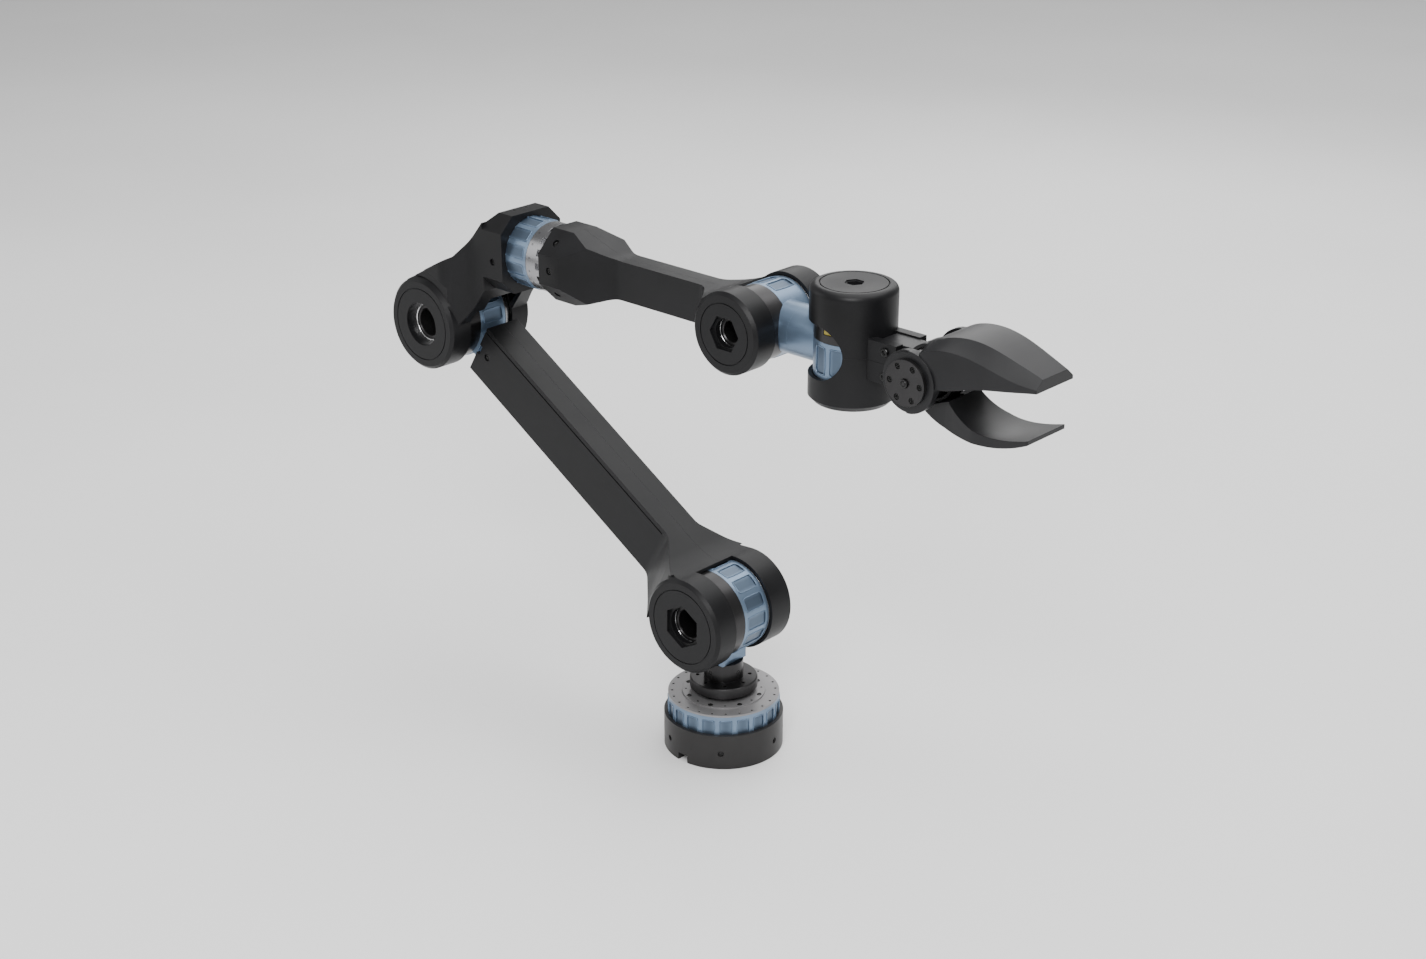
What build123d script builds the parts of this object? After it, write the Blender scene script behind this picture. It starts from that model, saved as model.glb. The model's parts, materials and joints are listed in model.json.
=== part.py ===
from build123d import *
from dataclasses import dataclass
from math import asin, cos, degrees, pi, radians, sin, sqrt
import os

# A six-axis table arm with a two-jaw gripper. Every joint is a round actuator held between
# a near shell, at -Y, and a far shell, at +Y. Lengths are in millimetres, +X is forward,
# +Z is up, and the origin is the centre of the base's bolt circle on the mounting face.

# Clearances
run_gap = 0.05            # radial, a turning shaft in its bearing or bore
seat_gap = 0.03           # radial, a fixed piece on its round seat
face_gap = 0.3            # between end faces that turn past each other
turn_gap = 0.6            # between a turning shell and the actuator inside it
stem_gap = 0.1            # round a stem in its socket

# Places of the joints
upper_arm_length = 332    # shoulder axis to elbow axis
upper_arm_angle = 149     # degrees from +X, so the upper arm leans back
roll_lift = 68            # forearm axis above the elbow axis
forearm_reach = 325       # elbow axis to wrist pitch axis, along the forearm

# Base cup and base actuator
base_radius = 46
base_height = 28
base_wall = 3.2
base_floor = 4
base_ledge = 5            # height of the step that the actuator stands on
base_ledge_width = 6
base_boss_radius = 11
base_boss_clear = 1       # round the boss above half the ledge's height
base_bore = 7.25
bolt_circle = 64
bolt_count = 4
bolt_hole = 2.25
bolt_head = 4.5
cable_notch_width = 9
cable_notch_height = 6
plug_window_width = 18
plug_window_height = 8
base_housing_length = 10.5
base_band_length = 23
base_cap_length = 1.6
base_flange_radius = 21
base_flange_length = 5
base_pockets = 20
base_journal = 15         # radius of the output flange's journal
base_journal_length = 8   # below the cap
cap_ring_radius = 32
cap_ring_rise = 1
cap_screw_count = 24
cap_screw_hole = 1
plug_window_angle = 60    # degrees from +X

# Socket on the base actuator that holds the shoulder stem
socket_disc_radius = 26
socket_disc_length = 8
socket_tube_radius = 15
socket_screw_circle = 40
socket_screw_count = 8
screw_radius = 1.5


@dataclass
class Actuator:
    """Sizes of one joint actuator: a dark housing, a blue band and a turning output ring."""
    radius: float
    housing_length: float
    band_length: float
    ring_length: float
    shaft_radius: float
    shaft_bore: float
    shaft_length: float
    bearing_radius: float
    bearing_width: float
    cup_room: float
    pockets: int
    notches: int

    @property
    def length(self):
        return self.housing_length + self.band_length + self.ring_length


large = Actuator(radius=34, housing_length=14, band_length=26, ring_length=14, shaft_radius=14,
                 shaft_bore=11, shaft_length=11.5, bearing_radius=18.5, bearing_width=7,
                 cup_room=7, pockets=14, notches=18)
small = Actuator(radius=27, housing_length=18, band_length=26, ring_length=16, shaft_radius=10.5,
                 shaft_bore=7.5, shaft_length=12, bearing_radius=14.5, bearing_width=6.5,
                 cup_room=4, pockets=12, notches=16)

pocket_depth = 0.8
pocket_margin = 3.2       # from the edge of the blue band to its pockets
pocket_share = 0.72       # of the room that each pocket has round the band
notch_depth = 2
notch_length = 5
notch_share = 0.5
spigot_share = 0.6        # of the actuator's radius, the output ring's inner journal
spigot_length = 5
dish_depth = 1.5          # ring-shaped dish in the end of a housing
dish_outer = 0.86         # of the actuator's radius
dish_inner = 0.62
edge_break = 0.8
shaft_chamfer = 0.6
bearing_chamfer = 0.4
pocket_clear = 12         # degrees between a stem's corner and the nearest pocket

# Square stems of the shoulder and elbow actuators
stem_width = 22
stem_reach = 42.5         # from the actuator's axis to the step
tongue_width = 17
tongue_depth = 20
tongue_reach = 57
stem_bore = 5
window_width = 12
window_height = 3.5

# Round stems of the two wrist actuators, which meet end to end
wrist_stem_radius = 18.5
pitch_stem_length = 7.5
yaw_stem_length = 17
wrist_tongue_width = 17
wrist_tongue_depth = 20
wrist_tongue_length = 15
stem_shift = 5            # stem centre towards the shaft side of a small actuator

# Rings and cups of the shells
shell_wall = 2.4
ring_plate = 7.5          # thickness of the ring's face in front of the bearing
ring_depth = 20           # of the near ring, along the joint's axis
cup_floor = 3
cup_pad = 0.7             # of the actuator's radius, the pad that seats on the output ring
disc_inset = 7.5          # from the ring's outside to the groove round its face disc
groove_width = 0.8
groove_depth = 0.8
hex_depth = 3
bearing_lip = 1           # overlap of a ring's face on its bearing
rim_chamfer = 2.4

# Upper arm
arm_height = 45
arm_half_width = 16
arm_end_gap = 4.5         # from the elbow actuator's surface to the arm's end
arm_wall = 3
neck_radius = 42
neck_blend = 14
neck_start = 0.75         # of a ring's radius, where its face starts to slope down to the beam
arm_neck_end = 63
arm_hug = (-52, 38)       # degrees from the arm between which its shells hug the actuator
hug_room = 1.25           # of a ring's radius, reach of the free room round the actuator
rib = 2.2
rib_first = 53
rib_step = 47.5
rib_count = 5
boss_radius = 4.2
boss_hole = 1.4
arm_groove_start = 66.6   # from the shoulder axis, groove in the upper arm's near face
arm_groove_inset = 4      # from the beam's edge to the groove
arm_groove_width = 1.2
arm_notch_length = 3      # notch in the beam's top end
arm_notch_width = 8

# Elbow covers. Outline points are X and Z from the elbow axis.
clamp_start = 60          # elbow axis to the roll actuator's rear face
clamp_length = 22
clamp_half = 31           # from the roll axis to the flat pads
clamp_corner = 12
clamp_wall = 4
elbow_back = (-18, 33)
elbow_top = (35, 62)
elbow_brow = (60, 92)
elbow_throat = (36, 5)
elbow_hug = (36, 118)     # degrees between which the covers hug the actuator
arm_sweep_height = 26     # the upper arm's end sweeps below this
arm_sweep_start = 20
elbow_neck_end = 46
arm_sweep_gap = 1.5
cable_bore = 18           # radius of the way from the elbow into the roll actuator

# Forearm. Lengths along it are from the wrist pitch axis.
plate_radius = 21.5
plate_length = 12
plate_screw_circle = 35
plate_screw_count = 8
plate_slot_width = 6
plate_slot_length = 16
forearm_height = 30
forearm_near = 8          # thickness of the near shell's beam
forearm_far = 12
forearm_block_half = 28.5
forearm_block_length = 22
forearm_block_gap = 0.5   # from the block's end to the roll output ring
forearm_taper = 40
forearm_wall = 2.5
forearm_seat = 2          # shoulder inside the block that the coupling plate stands on
forearm_rib_first = 46.7
forearm_rib_step = 43
forearm_rib_count = 3
forearm_hug = (-50, 38)
forearm_neck_end = 52

# Wrist housing round the yaw actuator
dome_radius = 30.5
dome_fillet = 5
dome_disc_radius = 24
dome_disc_depth = 1
dome_hex = 7              # hexagonal recess in the dome, with a narrower hexagonal hole
dome_hex_hole = 6
cup_base = 4              # floor under the yaw output ring
cup_base_chamfer = 4
yaw_swing = 77            # degrees each way that the stem's opening reaches
stem_sweep_gap = 0.7
lug_start = 26
lug_end = 50
lug_thickness = 7.5
lug_height = 14.5
connector_width = 8
connector_height = 6
connector_depth = 3

# Hand. Outline points are X and Z from the jaw hinge.
palm_width = 18
palm_height = 27
palm_start = 31           # from the yaw axis
clamp_bolt_radius = 2
clamp_bolt_place = 41     # from the yaw axis
clamp_bolt_lift = 8.5
hand_length = 73          # yaw axis to jaw hinge
motor_radius = 17
motor_start = -24         # near end of the motor, along Y
motor_length = 37.5
cradle_wall = 3
cradle_half = 9
motor_plate_radius = 18.5
motor_plate_length = 2.5
motor_plate_lobes = 6
motor_journal = 10
axle_radius = 3
axle_length = 11
jaw_bearing_radius = 6.6
jaw_bearing_width = 4
flange_radius = 16
flange_length = 3
flange_hole_circle = 24.6
flange_hole = 2.2
hub_radius = 8.3
jaw_ring_radius = 21.5
jaw_ring_length = 6
jaw_ring_step = 1.2       # depth and width of the step round a ring's outer face
jaw_ring_holes = 8
jaw_ring_hole = 0.9
jaw_gap = 0.5             # from the motor's plate to the jaw's ring
jaw_clear = 20.9          # radius round the hinge that the jaw leaves free
jaw_tip = 92
jaw_tip_half = 21         # half width of the lower scoop's tip
jaw_shoulder = 20         # from the hinge, where the scoop starts to widen
jaw_blend = 44
jaw_corner = 5            # chamfer of the scoop's front corners

# Sections of the upper jaw: X from the hinge, half widths of its sides and of its top, then Z of
# its lower edge, of the foot of the bevel and of the top.
jaw_sections = [(8, 32, 22, 14, 21.5, 27), (20, 31.5, 20, 0, 26, 32), (36, 29, 18, 2, 26.5, 34.5),
                (58, 26, 16.5, 7, 21.5, 31.5), (76, 23.5, 15, 9.5, 16.5, 25.5),
                (jaw_tip, 20, 13.5, 11.5, 14, 19.5)]
scoop_top_edge = [(88, -21), (69, -25.5), (50, -26), (34, -21), (22, -12)]
scoop_bottom_edge = [(0, -21), (12, -28.5), (32, -33.5), (60, -33), (88, -24)]
scoop_root_half = 17      # half width beside the motor, and where the scoop is widened
scoop_middle_half = 21

# Worked out from the sizes above
base_actuator_foot = base_floor + base_ledge
base_actuator_radius = base_radius - base_wall - seat_gap
base_band_foot = base_actuator_foot + base_housing_length
base_cap_foot = base_band_foot + base_band_length
base_flange_foot = base_cap_foot + base_cap_length
socket_foot = base_flange_foot + base_flange_length
socket_length = tongue_reach - stem_reach
shoulder_height = socket_foot + socket_disc_length + tongue_reach
yaw_reach = small.radius + pitch_stem_length + yaw_stem_length + small.radius
roll_rear = clamp_start
lean = radians(upper_arm_angle)
along_arm = Vector(cos(lean), 0, sin(lean))
shoulder = Vector(0, 0, shoulder_height)
elbow = shoulder + along_arm * upper_arm_length
roll_height = elbow.Z + roll_lift
roll = Vector(elbow.X + roll_rear + small.length / 2, 0, roll_height)
pitch = Vector(elbow.X + forearm_reach, 0, roll_height)
yaw = Vector(pitch.X + yaw_reach, 0, pitch.Z - stem_shift)
hinge = Vector(yaw.X + hand_length, 0, pitch.Z)
near = (0, -1, 0)
far = (0, 1, 0)


def save(solid, name):
    """Label a finished piece and write it to its file."""
    solid.label = name
    export_step(solid, f"parts/{name}.step")


def side_plane(origin, direction):
    """Plane of a link seen from the near side: x runs along the link, z towards the viewer."""
    return Plane(origin=origin, x_dir=direction, z_dir=near)


# Actuators. Their planes have z towards the output ring and x towards the stem.

def make_housing(plane, kind, bore):
    """Dark end housing, dished on its outer face and bored for the hollow shaft."""
    rear = -kind.length / 2
    with BuildPart() as housing:
        with BuildSketch(plane.offset(rear)):
            Circle(kind.radius)
        extrude(amount=kind.housing_length)
        chamfer(housing.faces().sort_by(Axis(plane.origin, plane.z_dir))[0].edges(), edge_break)
        with BuildSketch(plane.offset(rear)):
            Circle(kind.radius * dish_outer)
            Circle(kind.radius * dish_inner, mode=Mode.SUBTRACT)
        extrude(amount=dish_depth, mode=Mode.SUBTRACT)
        if bore:
            with BuildSketch(plane.offset(rear)):
                Circle(bore)
            extrude(amount=kind.housing_length / 2, mode=Mode.SUBTRACT)
    return housing


def cut_pockets(plane, radius, start, length, count, keep_clear):
    """Shallow pockets round a band, left out where the stem stands."""
    pitch_angle = 360 / count
    width = 2 * radius * sin(radians(pitch_angle / 2)) * pocket_share
    for index in range(count):
        angle = pitch_angle * (index + 0.5)
        if min(angle, 360 - angle) < keep_clear:
            continue
        outward = plane.x_dir.rotate(Axis((0, 0, 0), plane.z_dir), angle)
        middle = plane.origin + plane.z_dir * (start + length / 2) + outward * radius
        with BuildSketch(Plane(origin=middle, x_dir=plane.z_dir, z_dir=outward)) as pocket:
            Rectangle(length - 2 * pocket_margin, width)
        extrude(pocket.sketch, amount=-pocket_depth, mode=Mode.SUBTRACT)


def cut_journal_bore(plane, kind, start):
    """Bore in the end of a band for the output ring's journal."""
    with BuildSketch(plane.offset(start + kind.band_length)) as bore:
        Circle(kind.radius * spigot_share)
    extrude(bore.sketch, amount=-spigot_length - face_gap, mode=Mode.SUBTRACT)


def make_band(plane, kind, keep_clear):
    """Blue middle band with its pockets and the bore that the output ring's journal runs in."""
    start = -kind.length / 2 + kind.housing_length
    with BuildPart() as band:
        with BuildSketch(plane.offset(start)):
            Circle(kind.radius)
        extrude(amount=kind.band_length)
        cut_journal_bore(plane, kind, start)
        cut_pockets(plane, kind.radius, start, kind.band_length, kind.pockets, keep_clear)
    return band


def make_ring(plane, kind):
    """Bright output ring with a castellated rim and a journal that runs in the band."""
    start = kind.length / 2 - kind.ring_length
    with BuildPart() as ring:
        with BuildSketch(plane.offset(start + face_gap)):
            Circle(kind.radius)
        extrude(amount=kind.ring_length - face_gap)
        with BuildSketch(plane.offset(start - spigot_length)):
            Circle(kind.radius * spigot_share - run_gap)
        extrude(amount=spigot_length + face_gap)
        with BuildSketch(plane.offset(kind.length / 2)):
            with PolarLocations(kind.radius, kind.notches):
                Rectangle(2 * notch_depth, 2 * kind.radius * sin(pi / kind.notches) * notch_share)
        extrude(amount=-notch_length, mode=Mode.SUBTRACT)
    return ring


def make_shaft(plane, kind):
    """Hollow idler shaft that stands out of the housing and carries the bearing."""
    rear = -kind.length / 2
    with BuildPart() as shaft:
        with BuildSketch(plane.offset(rear - kind.shaft_length)):
            Circle(kind.shaft_radius)
            Circle(kind.shaft_bore, mode=Mode.SUBTRACT)
        extrude(amount=kind.shaft_length + kind.housing_length / 2)
        rims = shaft.edges().filter_by(GeomType.CIRCLE).sort_by(Axis(plane.origin, plane.z_dir))
        chamfer(rims[:2], shaft_chamfer)
    return shaft


def make_bearing(plane, inner, outer, start, width):
    """Bearing ring, running on a shaft and fixed in its seat."""
    with BuildPart() as bearing:
        with BuildSketch(plane.offset(start)):
            Circle(outer - seat_gap)
            Circle(inner + run_gap, mode=Mode.SUBTRACT)
        extrude(amount=width)
        chamfer(bearing.edges().filter_by(GeomType.CIRCLE), bearing_chamfer)
    return bearing


def add_square_stem(plane, kind):
    """Square stem with a narrower tongue, on the side of the band, with its bore and window."""
    foot = Plane(origin=plane.origin, x_dir=plane.z_dir, z_dir=plane.x_dir)
    with BuildSketch(foot) as block:
        Rectangle(kind.band_length, stem_width)
    extrude(block.sketch, amount=stem_reach)
    with BuildSketch(foot) as tongue:
        Rectangle(tongue_depth, tongue_width)
    extrude(tongue.sketch, amount=tongue_reach)
    with BuildSketch(foot.offset(tongue_reach)) as bore:
        Circle(stem_bore)
    extrude(bore.sketch, amount=stem_reach - tongue_reach, mode=Mode.SUBTRACT)
    front = Plane(origin=plane.origin + plane.x_dir * (stem_reach - window_height),
                  x_dir=plane.y_dir, z_dir=-plane.z_dir)
    with BuildSketch(front.offset(kind.band_length / 2)) as window:
        Rectangle(window_width, window_height)
    extrude(window.sketch, amount=-2 * pocket_depth, mode=Mode.SUBTRACT)


def make_square_stem_band(plane, kind):
    """Blue band with a square stem."""
    start = -kind.length / 2 + kind.housing_length
    with BuildPart() as band:
        with BuildSketch(plane.offset(start)):
            Circle(kind.radius)
        extrude(amount=kind.band_length)
        add_square_stem(plane, kind)
        cut_journal_bore(plane, kind, start)
        keep_clear = degrees(asin(stem_width / 2 / kind.radius)) + pocket_clear
        cut_pockets(plane, kind.radius, start, kind.band_length, kind.pockets, keep_clear)
    return band


# Shells. A ring or cup is described by its actuator and by mid, the depth of that actuator's
# centre in the link's side plane.

def outer_radius(kind):
    """Outside radius of the rings and cups round an actuator."""
    return kind.radius + turn_gap + shell_wall


def shaft_end(kind, mid):
    """Depth of the idler shaft's end, where the bearing's outer face lies."""
    return mid + kind.length / 2 + kind.shaft_length


def ring_face(kind, mid):
    """Depth of a near ring's outer face."""
    return shaft_end(kind, mid) + ring_plate


def ring_edge(kind, mid):
    """Depth of the edge of a near ring, part way over the actuator."""
    return ring_face(kind, mid) - ring_depth


def cup_mouth(kind, mid):
    """Depth of a far cup's mouth, just beside the band."""
    return mid - kind.length / 2 + kind.ring_length - turn_gap


def cup_face(kind, mid):
    """Depth of a far cup's outer face."""
    return mid - kind.length / 2 - kind.cup_room - cup_floor


def plan_plane(plane):
    """Plane seen along the link's height: x along the link, y is the depth."""
    return Plane(origin=plane.origin, x_dir=plane.x_dir, z_dir=-plane.y_dir)


def cut_ring(plane, kind, mid, hexagonal):
    """Hollow a near ring: actuator room, bearing seat, hexagonal or plain bore and face groove."""
    face = ring_face(kind, mid)
    seat = shaft_end(kind, mid)
    with BuildSketch(plane.offset(seat - kind.bearing_width)) as room:
        Circle(kind.radius + turn_gap)
    extrude(room.sketch, amount=-(seat - kind.bearing_width), mode=Mode.SUBTRACT)
    with BuildSketch(plane.offset(seat)) as bearing_seat:
        Circle(kind.bearing_radius)
    extrude(bearing_seat.sketch, amount=-kind.bearing_width, mode=Mode.SUBTRACT)
    with BuildSketch(plane.offset(face)) as bore:
        Circle(kind.shaft_radius if hexagonal else kind.bearing_radius - bearing_lip)
    extrude(bore.sketch, amount=-ring_plate, mode=Mode.SUBTRACT)
    if hexagonal:
        with BuildSketch(plane.offset(face)) as recess:
            RegularPolygon(kind.bearing_radius - bearing_lip, 6)
        extrude(recess.sketch, amount=-hex_depth, mode=Mode.SUBTRACT)
    groove = outer_radius(kind) - disc_inset
    with BuildSketch(plane.offset(face)) as ring_groove:
        Circle(groove)
        Circle(groove - groove_width, mode=Mode.SUBTRACT)
    extrude(ring_groove.sketch, amount=-groove_depth, mode=Mode.SUBTRACT)


def cut_cup(plane, kind, mid):
    """Hollow a far cup, leaving a raised pad that seats on the output ring, with its bore."""
    floor = cup_face(kind, mid) + cup_floor
    with BuildSketch(plane.offset(floor)) as room:
        Circle(kind.radius + turn_gap)
    extrude(room.sketch, amount=-floor, mode=Mode.SUBTRACT)
    with BuildSketch(plane.offset(floor)) as pad:
        Circle(kind.radius * cup_pad)
    extrude(pad.sketch, amount=kind.cup_room)
    with BuildSketch(plane.offset(cup_face(kind, mid))) as bore:
        Circle(kind.shaft_bore / 2)
    extrude(bore.sketch, amount=cup_floor + kind.cup_room, mode=Mode.SUBTRACT)


def keep_hug(plane, radius, depth, first, last):
    """Cut away the part of a ring beside its actuator, but for the arc that hugs it."""
    reach = radius * hug_room
    corners = [(0, 0)]
    for angle in (first, (first + last) / 2, last):
        corners.append((2 * reach * cos(radians(angle)), 2 * reach * sin(radians(angle))))
    with BuildSketch(plane) as open_side:
        Circle(reach)
        with BuildLine():
            Polyline(*corners, close=True)
        make_face(mode=Mode.SUBTRACT)
    extrude(open_side.sketch, amount=depth, mode=Mode.SUBTRACT)


def side_plan(radius, face, skin, end, neck_end):
    """Outline of one shell seen from above: deep at the ring, sloping down to the beam."""
    return [(-radius - 1, 0), (-radius - 1, face), (radius * neck_start, face), (neck_end, skin),
            (end, skin), (end, 0)]


def add_disc(plane, kind, mid, side):
    """Whole round end of a shell, standing out of the neck, with a broad chamfer on its rim."""
    radius = outer_radius(kind)
    edge = shell_edge(kind, mid, side)
    face = shell_face(kind, mid, side)
    with BuildSketch(plane.offset(edge)) as disc:
        Circle(radius)
    extrude(disc.sketch, amount=face - edge)
    with BuildSketch(plan_plane(plane)) as wedge:
        with BuildLine():
            Polyline((radius - rim_chamfer, face), (radius + rim_chamfer, face),
                     (radius + rim_chamfer, face - 2 * side * rim_chamfer), close=True)
        make_face()
    revolve(wedge.sketch, axis=Axis(plane.origin, plane.z_dir), mode=Mode.SUBTRACT)


def make_ring_or_cup(plane, kind, mid, side, hexagonal=True):
    """Near side: a ring with its bearing seat. Far side: a cup on the output ring."""
    add_disc(plane, kind, mid, side)
    if side > 0:
        cut_ring(plane, kind, mid, hexagonal)
    else:
        cut_cup(plane, kind, mid)


def shell_face(kind, mid, side):
    """Depth of a shell's outer face at the joint."""
    return ring_face(kind, mid) if side > 0 else cup_face(kind, mid)


def shell_edge(kind, mid, side):
    """Depth of the inner edge of a ring or cup."""
    return ring_edge(kind, mid) if side > 0 else cup_mouth(kind, mid)


def make_upper_arm_shell(side):
    """Near (side 1) or far (side -1) shell of the upper arm: ring or cup, neck and beam."""
    plane = arm_side
    radius = outer_radius(large)
    face = shell_face(large, 0, side)
    end = upper_arm_length - large.radius - arm_end_gap
    with BuildPart() as shell:
        with BuildSketch(plane) as outline:
            Circle(radius)
            with Locations((end / 2, 0)):
                Rectangle(end, arm_height)
            fillet(outline.vertices().filter_by_position(Axis.X, radius / 2, radius), neck_radius)
        extrude(amount=face)
        with BuildSketch(plan_plane(plane)) as plan:
            with BuildLine():
                Polyline(*side_plan(radius, face, side * arm_half_width, end, arm_neck_end), close=True)
            make_face()
            fillet(plan.vertices().filter_by_position(Axis.X, 0, arm_neck_end + 1), neck_blend)
        extrude(amount=2 * radius, both=True, mode=Mode.INTERSECT)
        keep_hug(plane, radius, shell_edge(large, 0, side), *arm_hug)
        make_ring_or_cup(plane, large, 0, side)
        stations = [rib_first + rib_step * index for index in range(rib_count)]
        stop = upper_arm_length - tongue_reach - stem_gap - arm_wall
        cut_ribbed_channel(plane, rib_first - boss_radius - rib, stop, arm_height - 2 * arm_wall,
                           side * (arm_half_width - arm_wall), stations)
        cut_stem_pocket(plane, side)
        if side > 0:
            cut_arm_details(plane)
    return shell


def cut_ribbed_channel(plane, start, stop, width, depth, stations):
    """Hollow a beam from its parting face and leave crossed ribs with screw bosses."""
    step = stations[1] - stations[0]
    reach = sqrt(step ** 2 + width ** 2)
    slope = degrees(asin(width / reach))
    with BuildSketch(plane) as channel:
        with Locations(((start + stop) / 2, 0)):
            Rectangle(stop - start, width)
        for station in stations:
            with Locations((station, 0)):
                Circle(boss_radius, mode=Mode.SUBTRACT)
                Rectangle(reach, rib, rotation=slope, mode=Mode.SUBTRACT)
                Rectangle(reach, rib, rotation=-slope, mode=Mode.SUBTRACT)
        with Locations(*[(station, 0) for station in stations]):
            Circle(boss_hole)
    extrude(channel.sketch, amount=depth, mode=Mode.SUBTRACT)


def cut_stem_pocket(plane, side):
    """Pocket in the beam's top end for the elbow actuator's stem, with its clamp screw's hole."""
    end = upper_arm_length - large.radius - arm_end_gap
    step = upper_arm_length - stem_reach - stem_gap
    tip = upper_arm_length - tongue_reach - stem_gap
    with BuildSketch(plane) as block:
        with Locations(((end + step) / 2, 0)):
            Rectangle(end - step, stem_width + 2 * stem_gap)
    extrude(block.sketch, amount=side * (large.band_length / 2 + stem_gap), mode=Mode.SUBTRACT)
    with BuildSketch(plane) as tongue:
        with Locations(((step + tip) / 2, 0)):
            Rectangle(step - tip, tongue_width + 2 * stem_gap)
    extrude(tongue.sketch, amount=side * (tongue_depth / 2 + stem_gap), mode=Mode.SUBTRACT)
    with BuildSketch(plane) as hole:
        with Locations(((step + tip) / 2, 0)):
            Circle(screw_radius + seat_gap)
    extrude(hole.sketch, amount=side * arm_half_width, mode=Mode.SUBTRACT)


def cut_arm_details(plane):
    """Groove along the upper edge of the near face and the square notch in its top end."""
    end = upper_arm_length - large.radius - arm_end_gap
    with BuildSketch(plane.offset(arm_half_width)) as groove:
        with Locations(((arm_groove_start + end) / 2, arm_groove_inset - arm_height / 2)):
            Rectangle(end - arm_groove_start, arm_groove_width)
    extrude(groove.sketch, amount=-groove_depth, mode=Mode.SUBTRACT)
    with BuildSketch(plane.offset(arm_half_width)) as notch:
        with Locations((end, 0)):
            Rectangle(2 * arm_notch_length, arm_notch_width)
    extrude(notch.sketch, amount=-arm_wall, mode=Mode.SUBTRACT)


# Elbow covers

def make_elbow_cover(side):
    """Near or far elbow cover: ring or cup, swept-back neck and half of the roll clamp."""
    plane = elbow_side
    radius = outer_radius(large)
    face = shell_face(large, 0, side)
    end = clamp_start + clamp_length
    low = roll_lift - clamp_half
    high = roll_lift + clamp_half
    blocked = arm_half_width + arm_sweep_gap
    neck = [elbow_back, elbow_top, elbow_brow, (elbow_brow[0] + high - elbow_brow[1], high), (end, high),
            (end, low), (clamp_start, low), elbow_throat, (0, 0)]
    with BuildPart() as cover:
        with BuildSketch(plane):
            Circle(radius)
            with BuildLine():
                Polyline(*neck, close=True)
            make_face()
        extrude(amount=face)
        with BuildSketch(plan_plane(plane)) as plan:
            with BuildLine():
                Polyline(*side_plan(radius, face, side * clamp_half, end, elbow_neck_end), close=True)
            make_face()
            fillet(plan.vertices().filter_by_position(Axis.X, 0, elbow_neck_end + 1), neck_blend)
        extrude(amount=2 * high, both=True, mode=Mode.INTERSECT)
        with BuildSketch(plane):
            with BuildLine():
                Polyline(*neck, close=True)
            make_face()
            offset(amount=-clamp_wall)
            with Locations((clamp_start, roll_lift)):
                Rectangle(2 * clamp_wall, 4 * clamp_half, mode=Mode.SUBTRACT)
            with Locations((clamp_start + clamp_length, roll_lift)):
                Rectangle(2 * clamp_length, 4 * clamp_half, mode=Mode.SUBTRACT)
        extrude(amount=side * (clamp_half - clamp_wall), mode=Mode.SUBTRACT)
        keep_hug(plane, radius, shell_edge(large, 0, side), *elbow_hug)
        make_ring_or_cup(plane, large, 0, side, hexagonal=False)
        with BuildSketch(plane):
            with Locations((arm_sweep_start, arm_sweep_height)):
                Rectangle(end, 4 * radius, align=(Align.MIN, Align.MAX))
        extrude(amount=side * blocked, mode=Mode.SUBTRACT)
        cut_roll_clamp(end)
    return cover


def cut_roll_clamp(end):
    """Bore and chamfered corners of the clamp that grips the roll actuator."""
    rear = Plane(origin=(elbow.X + clamp_start, 0, roll_height), x_dir=(0, 1, 0), z_dir=(1, 0, 0))
    with BuildSketch(rear) as seat:
        Circle(small.radius + seat_gap)
    extrude(seat.sketch, amount=clamp_length, mode=Mode.SUBTRACT)
    with BuildSketch(rear) as way:
        Circle(cable_bore)
    extrude(way.sketch, amount=-clamp_wall, mode=Mode.SUBTRACT)
    with BuildSketch(rear) as corners:
        Rectangle(4 * clamp_half, 4 * clamp_half)
        with BuildSketch(mode=Mode.PRIVATE) as block:
            Rectangle(2 * clamp_half, 2 * clamp_half)
            chamfer(block.vertices(), clamp_corner)
        add(block.sketch, mode=Mode.SUBTRACT)
    extrude(corners.sketch, amount=clamp_length, mode=Mode.SUBTRACT)


# Forearm

def make_coupling_plate():
    """Pale plate between the roll output ring and the forearm shells, with holes and a slot."""
    front = Plane(origin=roll + Vector(small.length / 2, 0, 0), x_dir=(0, 1, 0), z_dir=(1, 0, 0))
    with BuildPart() as plate:
        with BuildSketch(front):
            Circle(plate_radius)
            with PolarLocations(plate_screw_circle / 2, plate_screw_count):
                Circle(screw_radius, mode=Mode.SUBTRACT)
            SlotOverall(plate_slot_length, plate_slot_width, mode=Mode.SUBTRACT)
        extrude(amount=plate_length)
    return plate


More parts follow.
